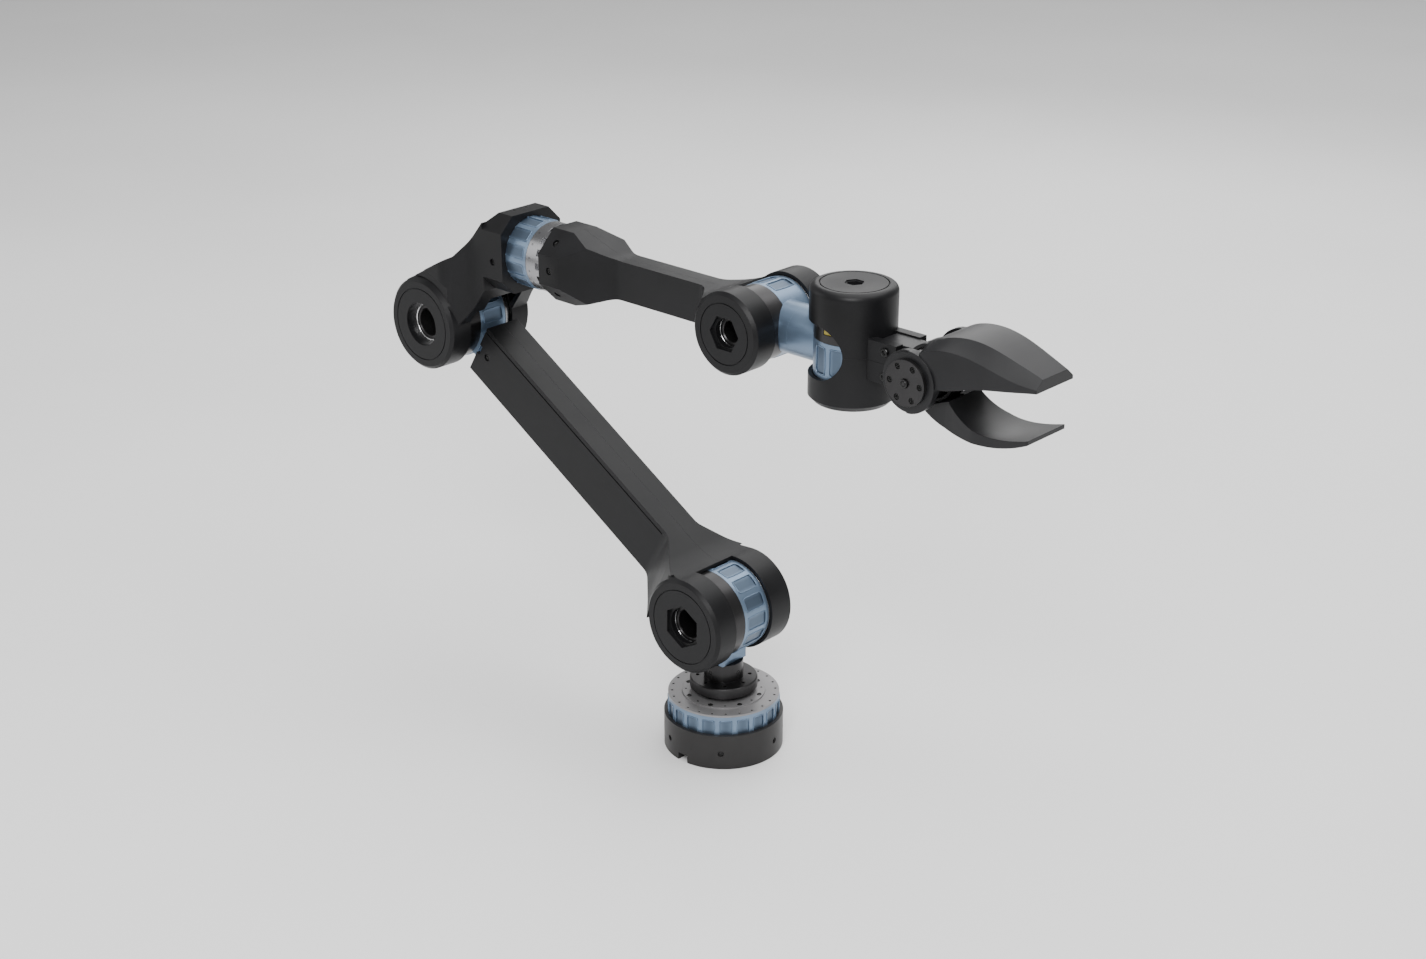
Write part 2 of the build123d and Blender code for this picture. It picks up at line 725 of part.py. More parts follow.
def make_forearm_shell(side):
    """Near or far shell of the forearm: wrist ring or cup, beam and octagonal clamp block."""
    plane = forearm_side
    radius = outer_radius(small)
    mid = -stem_shift
    face = shell_face(small, mid, side)
    skin = side * (forearm_near if side > 0 else forearm_far)
    end = forearm_reach - roll_rear - small.length - forearm_block_gap
    block = end - forearm_block_length
    taper = block - forearm_taper
    half = forearm_block_half
    with BuildPart() as shell:
        with BuildSketch(plane) as outline:
            Circle(radius)
            with BuildLine():
                Polyline((0, -forearm_height / 2), (taper, -forearm_height / 2), (block, -half),
                         (end, -half), (end, half), (block, half), (taper, forearm_height / 2),
                         (0, forearm_height / 2), close=True)
            make_face()
            fillet(outline.vertices().filter_by_position(Axis.X, radius / 2, taper + 1), neck_radius)
        extrude(amount=face)
        with BuildSketch(plan_plane(plane)) as plan:
            with BuildLine():
                Polyline((-radius - 1, 0), (-radius - 1, face), (radius * neck_start, face),
                         (forearm_neck_end, skin), (taper, skin), (block, side * half), (end, side * half),
                         (end, 0), close=True)
            make_face()
            fillet(plan.vertices().filter_by_position(Axis.X, 0, taper + 1), neck_blend)
        extrude(amount=2 * radius, both=True, mode=Mode.INTERSECT)
        keep_hug(plane, radius, shell_edge(small, mid, side), *forearm_hug)
        make_ring_or_cup(plane, small, mid, side)
        stations = [forearm_rib_first + forearm_rib_step * index for index in range(forearm_rib_count)]
        cut_ribbed_channel(plane, forearm_rib_first - boss_radius - rib, taper,
                           forearm_height - 2 * forearm_wall, skin - side * forearm_wall, stations)
        cut_forearm_block(end, taper)
    return shell


def cut_forearm_block(end, taper):
    """Octagonal outside, room for the coupling plate and tapered cable room of the block."""
    back = Plane(origin=(pitch.X - end, 0, roll_height), x_dir=(0, 1, 0), z_dir=(1, 0, 0))
    seat_depth = plate_length - forearm_block_gap
    narrow = forearm_near - forearm_wall
    with BuildSketch(back) as frame:
        Rectangle(6 * plate_radius, 6 * plate_radius)
        RegularPolygon(forearm_block_half, 8, major_radius=False, rotation=22.5, mode=Mode.SUBTRACT)
    extrude(frame.sketch, amount=end - taper, mode=Mode.SUBTRACT)
    with BuildSketch(back) as seat:
        Circle(plate_radius + seat_gap)
    extrude(seat.sketch, amount=seat_depth, mode=Mode.SUBTRACT)
    with BuildSketch(back.offset(seat_depth)) as wide:
        Circle(plate_radius - forearm_seat)
    with BuildSketch(back.offset(end - taper)) as small_end:
        Circle(narrow)
    loft([wide.sketch, small_end.sketch], mode=Mode.SUBTRACT)


# Wrist

def make_round_stem_band(plane, kind, length, tongue):
    """Blue band with a round stem: with a square tongue, or with the socket for one."""
    start = -kind.length / 2 + kind.housing_length
    foot = Plane(origin=plane.origin - plane.z_dir * stem_shift, x_dir=plane.z_dir, z_dir=plane.x_dir)
    reach = kind.radius + length
    slack = 2 * stem_gap
    with BuildPart() as band:
        with BuildSketch(foot):
            Circle(wrist_stem_radius)
        extrude(amount=reach)
        with BuildSketch(plane.offset(start)):
            Circle(kind.radius + seat_gap)
        extrude(amount=-kind.housing_length - kind.radius, mode=Mode.SUBTRACT)
        with BuildSketch(plane.offset(start)):
            Circle(kind.radius)
        extrude(amount=kind.band_length)
        with BuildSketch(plane.offset(start + kind.band_length)):
            Circle(kind.radius)
        extrude(amount=kind.radius, mode=Mode.SUBTRACT)
        if tongue:
            with BuildSketch(foot.offset(reach)):
                Rectangle(wrist_tongue_depth, wrist_tongue_width)
            extrude(amount=wrist_tongue_length)
            with BuildSketch(foot.offset(reach + wrist_tongue_length)):
                Circle(stem_bore)
            extrude(amount=-wrist_tongue_length, mode=Mode.SUBTRACT)
        else:
            with BuildSketch(foot.offset(reach)):
                Rectangle(wrist_tongue_width + slack, wrist_tongue_depth + slack)
            extrude(amount=-wrist_tongue_length - stem_gap, mode=Mode.SUBTRACT)
        cut_journal_bore(plane, kind, start)
        clear = degrees(asin(wrist_stem_radius / kind.radius)) + pocket_clear
        cut_pockets(plane, kind.radius, start, kind.band_length, kind.pockets, clear)
    return band


def make_yaw_housing(plane):
    """Dark housing of the yaw actuator with the pocket for its connector."""
    with BuildPart() as housing:
        add(make_housing(plane, small, small.shaft_radius + seat_gap).part)
        with BuildSketch(connector_plane):
            Rectangle(connector_width, connector_height)
        extrude(amount=-connector_depth, mode=Mode.SUBTRACT)
    return housing


def make_connector():
    """Small two-part plug in the side of the yaw actuator."""
    with BuildPart() as plug:
        with BuildSketch(connector_plane.offset(-connector_depth)):
            Rectangle(connector_width - 2 * stem_gap, connector_height - 2 * stem_gap)
        extrude(amount=connector_depth - edge_break)
    return plug


def add_lugs(top, sign):
    """Pair of clamp lugs on one wrist housing half, from its parting face up or down."""
    inner = palm_width / 2 + seat_gap
    parting = Plane(origin=(yaw.X, 0, top), x_dir=(1, 0, 0), z_dir=(0, 0, sign))
    with BuildSketch(parting) as lugs:
        for place in (inner + lug_thickness / 2, -inner - lug_thickness / 2):
            with Locations(((lug_start + lug_end) / 2, place)):
                Rectangle(lug_end - lug_start, lug_thickness)
    extrude(lugs.sketch, amount=lug_height)


def cut_lug_holes(top, sign):
    """Cross hole through both lugs for a clamp bolt."""
    across = Plane(origin=(yaw.X + clamp_bolt_place, 0, top + sign * clamp_bolt_lift), x_dir=(1, 0, 0),
                   z_dir=(0, 1, 0))
    with BuildSketch(across) as hole:
        Circle(clamp_bolt_radius + seat_gap)
    extrude(hole.sketch, amount=palm_width + lug_thickness, both=True, mode=Mode.SUBTRACT)


def make_upper_housing():
    """Dome over the yaw actuator: cylinder with a rounded top, lugs, bearing seat and opening."""
    parting = pitch.Z
    top = yaw.Z + small.length / 2 + small.shaft_length + ring_plate
    seat = top - ring_plate
    base = Plane(origin=(yaw.X, 0, parting))
    with BuildPart() as dome:
        with BuildSketch(base):
            Circle(dome_radius)
        extrude(amount=top - parting)
        fillet(dome.edges().filter_by(GeomType.CIRCLE).sort_by(Axis.Z)[-1], dome_fillet)
        add_lugs(parting, 1)
        with BuildSketch(base):
            Circle(small.radius + turn_gap)
        extrude(amount=seat - small.bearing_width - parting, mode=Mode.SUBTRACT)
        with BuildSketch(base):
            Circle(small.bearing_radius)
        extrude(amount=seat - parting, mode=Mode.SUBTRACT)
        with BuildSketch(Plane(origin=(yaw.X, 0, top))):
            Circle(dome_disc_radius)
            Circle(dome_disc_radius - groove_width, mode=Mode.SUBTRACT)
            RegularPolygon(dome_hex, 6)
        extrude(amount=-dome_disc_depth, mode=Mode.SUBTRACT)
        with BuildSketch(Plane(origin=(yaw.X, 0, top))):
            RegularPolygon(dome_hex_hole, 6)
        extrude(amount=-ring_plate, mode=Mode.SUBTRACT)
        cut_lug_holes(parting, 1)
        add(stem_opening(), mode=Mode.SUBTRACT)
    return dome


def make_lower_housing():
    """Cup under the yaw actuator, screwed to its output ring."""
    parting = pitch.Z
    face = yaw.Z - small.length / 2
    base = Plane(origin=(yaw.X, 0, parting))
    with BuildPart() as cup:
        with BuildSketch(base):
            Circle(dome_radius)
        extrude(amount=face - cup_base - parting)
        chamfer(cup.edges().filter_by(GeomType.CIRCLE).sort_by(Axis.Z)[0], cup_base_chamfer)
        add_lugs(parting, -1)
        with BuildSketch(base):
            Circle(small.radius + turn_gap)
        extrude(amount=face - parting, mode=Mode.SUBTRACT)
        with BuildSketch(Plane(origin=(yaw.X, 0, face))):
            Circle(small.shaft_bore)
        extrude(amount=-cup_base, mode=Mode.SUBTRACT)
        cut_lug_holes(parting, -1)
        add(stem_opening(), mode=Mode.SUBTRACT)
    return cup


def stem_opening():
    """Room that the round stem sweeps while the hand swings from one limit to the other."""
    half = wrist_stem_radius + stem_sweep_gap
    inner = small.radius - 1
    chord = sqrt(small.radius ** 2 - half ** 2)
    axis = Axis((yaw.X, 0, 0), (0, 0, 1))
    with BuildPart(mode=Mode.PRIVATE) as room:
        with BuildSketch(Plane(origin=(yaw.X, 0, pitch.Z), x_dir=(-1, 0, 0), z_dir=(0, -1, 0))):
            with Locations((inner, 0)):
                Rectangle(lug_end - inner, 2 * half, align=(Align.MIN, Align.CENTER))
        revolve(axis=axis, revolution_arc=2 * yaw_swing)
    sweep = room.part.rotate(axis, yaw_swing)
    if sweep.center().X > yaw.X:
        sweep = room.part.rotate(axis, -yaw_swing)
    for angle in (-yaw_swing, yaw_swing):
        with BuildPart(mode=Mode.PRIVATE) as end:
            with BuildSketch(Plane(origin=(yaw.X - chord, 0, pitch.Z), x_dir=(0, 1, 0), z_dir=(-1, 0, 0))):
                Circle(half)
            extrude(amount=lug_end - chord)
        sweep = sweep + end.part.rotate(axis, angle)
    return sweep


# Hand

def make_lower_jaw():
    """Palm block, cradle round the motor and the fixed lower scoop, in one piece."""
    side = Plane(origin=hinge, x_dir=(1, 0, 0), z_dir=near)
    palm_near = palm_start - hand_length
    with BuildPart() as jaw:
        with BuildSketch(side):
            with BuildLine():
                Spline(*scoop_top_edge)
                Line(scoop_top_edge[-1], scoop_bottom_edge[0])
                Spline(*scoop_bottom_edge)
                Line(scoop_bottom_edge[-1], scoop_top_edge[0])
            make_face()
        extrude(amount=2 * jaw_tip_half, both=True)
        with BuildSketch(Plane(origin=hinge)):
            with BuildLine():
                Polyline(*jaw_plan(scoop_root_half, scoop_middle_half, jaw_tip_half), close=True)
            make_face()
        extrude(amount=2 * jaw_tip, both=True, mode=Mode.INTERSECT)
        with BuildSketch(side):
            Circle(motor_radius + cradle_wall)
            with Locations((palm_near, 0)):
                Rectangle(-palm_near, palm_height, align=(Align.MIN, Align.CENTER))
        extrude(amount=cradle_half, both=True)
        with BuildSketch(side):
            Circle(motor_radius + seat_gap)
        extrude(amount=cradle_half, both=True, mode=Mode.SUBTRACT)
        with BuildSketch(side):
            Circle(motor_radius + turn_gap)
        extrude(amount=2 * jaw_tip_half, both=True, mode=Mode.SUBTRACT)
        for lift in (clamp_bolt_lift, -clamp_bolt_lift):
            with BuildSketch(side):
                with Locations((clamp_bolt_place - hand_length, lift)):
                    Circle(clamp_bolt_radius + seat_gap)
            extrude(amount=palm_width, both=True, mode=Mode.SUBTRACT)
    return jaw


def jaw_plan(root, middle, tip):
    """Outline of a jaw seen from above: its half width at the hinge, half way and at the tip."""
    corner = jaw_tip - jaw_corner
    return [(-jaw_clear, root), (jaw_shoulder, root), (jaw_blend, middle), (corner, tip),
            (jaw_tip + 1, tip - jaw_corner), (jaw_tip + 1, jaw_corner - tip), (corner, -tip),
            (jaw_blend, -middle), (jaw_shoulder, -root), (-jaw_clear, -root)]


def make_upper_jaw():
    """Moving upper jaw: near ring, far lug and a bevelled bill that tapers to its tip."""
    side = Plane(origin=hinge, x_dir=(1, 0, 0), z_dir=near)
    inner = -motor_start + motor_plate_length + jaw_gap
    outer = inner + jaw_ring_length
    with BuildPart() as jaw:
        for x, side_half, top_half, low, foot, top in jaw_sections:
            with BuildSketch(Plane(origin=hinge + Vector(x, 0, 0), x_dir=(0, 1, 0), z_dir=(1, 0, 0))):
                with BuildLine():
                    Polyline((-side_half, low), (-side_half, foot), (-top_half, top), (top_half, top),
                             (side_half, foot), (side_half, low), close=True)
                make_face()
        loft()
        with BuildSketch(side):
            Circle(jaw_clear)
        extrude(amount=inner, both=True, mode=Mode.SUBTRACT)
        for sign in (1, -1):
            with BuildSketch(side.offset(sign * inner)):
                Circle(jaw_ring_radius)
            extrude(amount=sign * jaw_ring_length)
            with BuildSketch(side.offset(sign * outer)):
                Circle(2 * jaw_ring_radius)
                Circle(jaw_ring_radius - jaw_ring_step, mode=Mode.SUBTRACT)
                with Locations((jaw_ring_radius, jaw_ring_radius)):
                    Rectangle(2 * jaw_ring_radius, 4 * jaw_ring_radius, mode=Mode.SUBTRACT)
            extrude(amount=-sign * jaw_ring_step, mode=Mode.SUBTRACT)
        with BuildSketch(side.offset(outer)):
            Circle(hub_radius + seat_gap)
            with PolarLocations(flange_hole_circle / 2, jaw_ring_holes):
                Circle(jaw_ring_hole)
        extrude(amount=-jaw_ring_length, mode=Mode.SUBTRACT)
    return jaw


def make_motor():
    """Gripper motor barrel with its hinge axle at the near end."""
    side = Plane(origin=hinge, x_dir=(1, 0, 0), z_dir=near)
    end = -motor_start
    with BuildPart() as motor:
        with BuildSketch(side.offset(end)):
            Circle(motor_radius)
        extrude(amount=-motor_length)
        chamfer(motor.edges().filter_by(GeomType.CIRCLE), edge_break)
        with BuildSketch(side.offset(end)):
            Circle(axle_radius)
        extrude(amount=motor_plate_length + axle_length)
        with BuildSketch(side.offset(end - motor_length)):
            Circle(motor_journal)
        extrude(amount=spigot_length, mode=Mode.SUBTRACT)
    return motor


def make_motor_plate():
    """Pale lobed end plate of the gripper motor."""
    side = Plane(origin=hinge, x_dir=(1, 0, 0), z_dir=near)
    with BuildPart() as plate:
        with BuildSketch(side.offset(-motor_start)):
            Circle(motor_radius - edge_break)
            with PolarLocations(motor_plate_radius - 2 * screw_radius, motor_plate_lobes):
                Circle(2 * screw_radius)
            with PolarLocations(motor_plate_radius - 2 * screw_radius, motor_plate_lobes):
                Circle(screw_radius, mode=Mode.SUBTRACT)
            Circle(axle_radius + seat_gap, mode=Mode.SUBTRACT)
        extrude(amount=motor_plate_length)
    return plate


def make_gripper_ring():
    """Castellated output ring at the far end of the gripper motor."""
    side = Plane(origin=hinge, x_dir=(1, 0, 0), z_dir=far)
    start = motor_start + motor_length
    end = -motor_start + motor_plate_length + jaw_gap
    with BuildPart() as ring:
        with BuildSketch(side.offset(start + face_gap)):
            Circle(motor_radius)
        extrude(amount=end - start - face_gap)
        with BuildSketch(side.offset(start - spigot_length + face_gap)):
            Circle(motor_journal - run_gap)
        extrude(amount=spigot_length)
        with BuildSketch(side.offset(end)):
            with PolarLocations(motor_radius, small.pockets):
                Rectangle(2 * notch_depth, 2 * motor_radius * sin(pi / small.pockets) * notch_share)
        extrude(amount=-notch_length, mode=Mode.SUBTRACT)
    return ring


def make_flange():
    """Dark flange on the jaw's near ring, with its hub and bearing seat."""
    side = Plane(origin=hinge, x_dir=(1, 0, 0), z_dir=near)
    inner = -motor_start + motor_plate_length + jaw_gap
    outer = inner + jaw_ring_length
    with BuildPart() as flange:
        with BuildSketch(side.offset(outer)):
            Circle(flange_radius)
            with PolarLocations(flange_hole_circle / 2, motor_plate_lobes):
                Circle(flange_hole, mode=Mode.SUBTRACT)
        extrude(amount=flange_length)
        with BuildSketch(side.offset(inner)):
            Circle(hub_radius)
        extrude(amount=jaw_ring_length)
        with BuildSketch(side.offset(inner)):
            Circle(jaw_bearing_radius)
        extrude(amount=jaw_bearing_width, mode=Mode.SUBTRACT)
        with BuildSketch(side.offset(inner)):
            Circle(axle_radius + face_gap)
        extrude(amount=jaw_ring_length + flange_length, mode=Mode.SUBTRACT)
    return flange


# Base

def make_base_cup():
    """Base cup: bored floor with countersunk bolt holes, ledge, cable notch and plug window."""
    inner = base_radius - base_wall
    with BuildPart() as cup:
        with BuildSketch():
            Circle(base_radius)
        extrude(amount=base_height)
        with BuildSketch(Plane.XY.offset(base_floor + base_ledge)):
            Circle(inner)
        extrude(amount=base_height, mode=Mode.SUBTRACT)
        with BuildSketch(Plane.XY.offset(base_floor)):
            Circle(inner - base_ledge_width)
            Circle(base_boss_radius, mode=Mode.SUBTRACT)
        extrude(amount=base_ledge, mode=Mode.SUBTRACT)
        with BuildSketch(Plane.XY.offset(base_floor + base_ledge / 2)):
            Circle(base_boss_radius + base_boss_clear)
        extrude(amount=base_ledge, mode=Mode.SUBTRACT)
        with BuildSketch():
            Circle(base_bore)
        extrude(amount=base_height, mode=Mode.SUBTRACT)
        with Locations(Plane.XY.offset(base_floor)):
            with PolarLocations(bolt_circle / 2, bolt_count, start_angle=45):
                CounterSinkHole(radius=bolt_hole, counter_sink_radius=bolt_head)
        with BuildSketch(Plane(origin=(0, -base_radius, 0), x_dir=(1, 0, 0), z_dir=(0, 1, 0))):
            Rectangle(cable_notch_width, 2 * cable_notch_height)
        extrude(amount=base_wall + base_ledge_width + 1, mode=Mode.SUBTRACT)
        back_right = Vector(1, 0, 0).rotate(Axis.Z, plug_window_angle)
        plug_middle = back_right * base_radius + Vector(0, 0, base_height - plug_window_height)
        with BuildSketch(Plane(origin=plug_middle, x_dir=(0, 0, 1), z_dir=back_right * -1)):
            Rectangle(plug_window_height, plug_window_width)
        extrude(amount=base_wall + 1, mode=Mode.SUBTRACT)
    return cup


def base_pockets_cut():
    """Pockets round the blue band of the base actuator."""
    cut_pockets(Plane.XY, base_actuator_radius, base_band_foot, base_band_length, base_pockets, 0)


def make_base_housing():
    """Dark lower part of the base actuator, standing on the cup's ledge."""
    with BuildPart() as housing:
        with BuildSketch(Plane.XY.offset(base_actuator_foot)):
            Circle(base_actuator_radius)
            Circle(base_bore, mode=Mode.SUBTRACT)
        extrude(amount=base_housing_length)
        chamfer(housing.edges().filter_by(GeomType.CIRCLE).sort_by(Axis.Z)[:1], edge_break)
    return housing


def make_base_band():
    """Blue band of the base actuator with pockets and the bore for the flange's journal."""
    with BuildPart() as band:
        with BuildSketch(Plane.XY.offset(base_band_foot)):
            Circle(base_actuator_radius)
        extrude(amount=base_band_length)
        with BuildSketch(Plane.XY.offset(base_cap_foot)):
            Circle(base_journal)
        extrude(amount=-base_journal_length, mode=Mode.SUBTRACT)
        base_pockets_cut()
    return band


def make_base_cap():
    """Thin cap on the base actuator, with a raised ring round the flange and small holes."""
    with BuildPart() as cap:
        with BuildSketch(Plane.XY.offset(base_cap_foot)):
            Circle(base_actuator_radius)
        extrude(amount=base_cap_length)
        with BuildSketch(Plane.XY.offset(base_cap_foot)):
            Circle(cap_ring_radius)
        extrude(amount=base_cap_length + cap_ring_rise)
        with BuildSketch(Plane.XY.offset(base_cap_foot)):
            Circle(base_journal)
        extrude(amount=base_cap_length + cap_ring_rise, mode=Mode.SUBTRACT)
        with BuildSketch(Plane.XY.offset(base_cap_foot)):
            with PolarLocations(base_actuator_radius - 2 * screw_radius, cap_screw_count):
                Circle(cap_screw_hole)
        extrude(amount=base_cap_length, mode=Mode.SUBTRACT)
    return cap


def make_base_flange():
    """Output flange of the base actuator with its journal."""
    foot = base_flange_foot + cap_ring_rise + face_gap
    with BuildPart() as flange:
        with BuildSketch(Plane.XY.offset(foot)):
            Circle(base_flange_radius)
        extrude(amount=socket_foot - foot)
        with BuildSketch(Plane.XY.offset(base_cap_foot - base_journal_length + face_gap)):
            Circle(base_journal - run_gap)
        extrude(amount=foot - base_cap_foot + base_journal_length - face_gap)
        with BuildSketch(Plane.XY.offset(socket_foot)):
            Circle(stem_bore)
        extrude(amount=-base_flange_length, mode=Mode.SUBTRACT)
    return flange


def make_stem_socket():
    """Socket for the shoulder stem: disc with screw holes and a tube with a square opening."""
    top = socket_foot + socket_disc_length
    with BuildPart() as socket:
        with BuildSketch(Plane.XY.offset(socket_foot)):
            Circle(socket_disc_radius)
        extrude(amount=socket_disc_length)
        chamfer(socket.edges().filter_by(GeomType.CIRCLE).sort_by(Axis.Z)[-1], edge_break)
        with BuildSketch(Plane.XY.offset(top)):
            Circle(socket_tube_radius)
        extrude(amount=socket_length)
        with BuildSketch(Plane.XY.offset(top)):
            Rectangle(tongue_width + 2 * stem_gap, tongue_depth + 2 * stem_gap)
        extrude(amount=socket_length, mode=Mode.SUBTRACT)
        with BuildSketch(Plane.XY.offset(socket_foot)):
            Circle(stem_bore)
            with PolarLocations(socket_screw_circle / 2, socket_screw_count):
                Circle(screw_radius)
        extrude(amount=socket_disc_length, mode=Mode.SUBTRACT)
    return socket


def make_joint_bearing(plane, kind):
    """Bearing of a joint, on the outer end of its idler shaft."""
    start = -kind.length / 2 - kind.shaft_length
    return make_bearing(plane, kind.shaft_radius, kind.bearing_radius, start, kind.bearing_width)


def make_jaw_bearing():
    """Small bearing on the gripper's axle."""
    start = motor_start - motor_plate_length - jaw_gap - jaw_bearing_width
    plane = Plane(origin=hinge, x_dir=(1, 0, 0), z_dir=far)
    return make_bearing(plane, axle_radius, jaw_bearing_radius, start, jaw_bearing_width)


os.makedirs("parts", exist_ok=True)

shoulder_plane = Plane(origin=shoulder, x_dir=(0, 0, -1), z_dir=far)
elbow_plane = Plane(origin=elbow, x_dir=-along_arm, z_dir=far)
roll_plane = Plane(origin=roll, x_dir=(0, 0, 1), z_dir=(1, 0, 0))
pitch_plane = Plane(origin=pitch + Vector(0, stem_shift, 0), x_dir=(1, 0, 0), z_dir=far)
yaw_plane = Plane(origin=yaw, x_dir=(-1, 0, 0), z_dir=(0, 0, -1))
arm_side = side_plane(shoulder, along_arm)
elbow_side = side_plane(elbow, (1, 0, 0))
forearm_side = side_plane(pitch, (-1, 0, 0))
connector_plane = Plane(origin=yaw + Vector(0, -small.radius, small.length / 2 - small.housing_length / 2),
                        x_dir=(1, 0, 0), z_dir=near)


pieces = {
    "base_cup": make_base_cup(),
    "base_actuator_housing": make_base_housing(),
    "base_actuator_band": make_base_band(),
    "base_actuator_cap": make_base_cap(),
    "base_output_flange": make_base_flange(),
    "stem_socket": make_stem_socket(),
    "shoulder_housing": make_housing(shoulder_plane, large, large.shaft_radius + seat_gap),
    "shoulder_band": make_square_stem_band(shoulder_plane, large),
    "shoulder_shaft": make_shaft(shoulder_plane, large),
    "shoulder_output_ring": make_ring(shoulder_plane, large),
    "shoulder_bearing": make_joint_bearing(shoulder_plane, large),
    "upper_arm_near_shell": make_upper_arm_shell(1),
    "upper_arm_far_shell": make_upper_arm_shell(-1),
    "elbow_housing": make_housing(elbow_plane, large, large.shaft_radius + seat_gap),
    "elbow_band": make_square_stem_band(elbow_plane, large),
    "elbow_shaft": make_shaft(elbow_plane, large),
    "elbow_output_ring": make_ring(elbow_plane, large),
    "elbow_bearing": make_joint_bearing(elbow_plane, large),
    "elbow_near_cover": make_elbow_cover(1),
    "elbow_far_cover": make_elbow_cover(-1),
    "roll_housing": make_housing(roll_plane, small, small.shaft_bore),
    "roll_band": make_band(roll_plane, small, 0),
    "roll_output_ring": make_ring(roll_plane, small),
    "coupling_plate": make_coupling_plate(),
    "forearm_near_shell": make_forearm_shell(1),
    "forearm_far_shell": make_forearm_shell(-1),
    "wrist_pitch_output_ring": make_ring(pitch_plane, small),
    "wrist_pitch_bearing": make_joint_bearing(pitch_plane, small),
    "wrist_pitch_housing": make_housing(pitch_plane, small, small.shaft_radius + seat_gap),
    "wrist_pitch_band": make_round_stem_band(pitch_plane, small, pitch_stem_length, True),
    "wrist_pitch_shaft": make_shaft(pitch_plane, small),
    "wrist_yaw_housing": make_yaw_housing(yaw_plane),
    "wrist_yaw_band": make_round_stem_band(yaw_plane, small, yaw_stem_length, False),
    "wrist_yaw_shaft": make_shaft(yaw_plane, small),
    "wrist_yaw_connector": make_connector(),
    "wrist_yaw_output_ring": make_ring(yaw_plane, small),
    "wrist_yaw_bearing": make_joint_bearing(yaw_plane, small),
    "wrist_upper_housing": make_upper_housing(),
    "wrist_lower_housing": make_lower_housing(),
    "lower_jaw": make_lower_jaw(),
    "gripper_motor": make_motor(),
    "gripper_motor_plate": make_motor_plate(),
    "gripper_output_ring": make_gripper_ring(),
    "gripper_flange": make_flange(),
    "gripper_bearing": make_jaw_bearing(),
    "upper_jaw": make_upper_jaw(),
}
for name, piece in pieces.items():
    save(piece.part, name)
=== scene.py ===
# %% [markdown]
# # A six-axis table arm with a two-jaw gripper
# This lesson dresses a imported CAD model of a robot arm: black moulded shells, dark actuator
# housings, steel-blue anodised bands, bright castellated rings and a duck-billed gripper. The arm
# could be modelled again by eye, but then its joints would no longer fit. So the CAD gives every
# size and every joint, each piece gets its finish here, and only the softly rounded pieces and the
# small fittings get surfaces of their own.

# %% Load the frame
import contextlib
import json
import math

import bpy
import bmesh
import numpy as np
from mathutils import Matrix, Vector


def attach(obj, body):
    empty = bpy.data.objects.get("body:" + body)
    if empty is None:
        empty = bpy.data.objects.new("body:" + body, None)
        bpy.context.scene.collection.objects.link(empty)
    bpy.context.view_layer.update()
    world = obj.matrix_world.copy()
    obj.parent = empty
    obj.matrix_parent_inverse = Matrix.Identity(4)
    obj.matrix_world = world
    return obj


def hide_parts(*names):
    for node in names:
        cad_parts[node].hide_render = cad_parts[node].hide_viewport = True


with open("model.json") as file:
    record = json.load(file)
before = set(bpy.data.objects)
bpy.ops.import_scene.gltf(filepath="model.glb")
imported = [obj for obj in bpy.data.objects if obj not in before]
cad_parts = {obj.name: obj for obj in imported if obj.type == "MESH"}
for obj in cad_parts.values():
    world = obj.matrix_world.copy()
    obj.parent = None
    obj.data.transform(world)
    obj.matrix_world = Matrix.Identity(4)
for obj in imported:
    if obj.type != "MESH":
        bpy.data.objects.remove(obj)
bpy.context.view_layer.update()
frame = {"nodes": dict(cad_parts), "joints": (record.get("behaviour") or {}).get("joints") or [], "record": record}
nodes = frame["nodes"]
record = frame["record"]
body_of_node = {name: body for body, members in record["behaviour"]["bodies"].items()
                for name in members}
slot_of_node = {part["node"]: part["material_slot"] for part in record["subparts"]}

# %% [markdown]
# ## Where the joints are
# Everything round on the arm is built about the axis of a joint. Those places could be typed in
# again, but the record already lists each hinge, so they are read from it once and used by name.
# Blender works in metres and a maker thinks in millimetres: MM turns one into the other.

# %% Joint places and directions
MM = 0.001
joints = {joint["name"]: joint for joint in frame["joints"]}
near, far = np.array([0.0, -1.0, 0.0]), np.array([0.0, 1.0, 0.0])
forward, up = np.array([1.0, 0.0, 0.0]), np.array([0.0, 0.0, 1.0])
base = np.zeros(3)
shoulder, elbow, roll, pitch, yaw, hinge = (
    np.array(joints[name]["pos_m"])
    for name in ("shoulder_pitch", "elbow_pitch", "forearm_roll", "wrist_pitch", "wrist_yaw", "jaw"))
along_arm = (elbow - shoulder) / np.linalg.norm(elbow - shoulder)
for name, joint in joints.items():
    print(name, [round(1000 * v, 1) for v in joint["pos_m"]])

# %% [markdown]
# ## The camera
# The photograph looks down at the arm from its near right side, 43 degrees round and 23 degrees up,
# with a lens of 55.6 mm on a 36 mm sensor. A camera could be pushed about until the picture looks
# right. Here it stands on that measured line instead, and only its distance was chosen: as near as
# the closed-up arm needs to fill the same part of the picture.

# %% Camera
AZIMUTH, ELEVATION = math.radians(42.93), math.radians(22.92)
LENS, SENSOR, DISTANCE = 55.6, 36, 1.66


def show(name, data):
    """New object of this name and data, linked into the scene."""
    made = bpy.data.objects.new(name, data)
    bpy.context.scene.collection.objects.link(made)
    return made


def aim(obj, place, direction):
    """Puts an object at a place and turns its -Z axis along a direction, with its top up."""
    obj.location = place
    obj.rotation_mode = "QUATERNION"
    obj.rotation_quaternion = direction.to_track_quat("-Z", "Y")


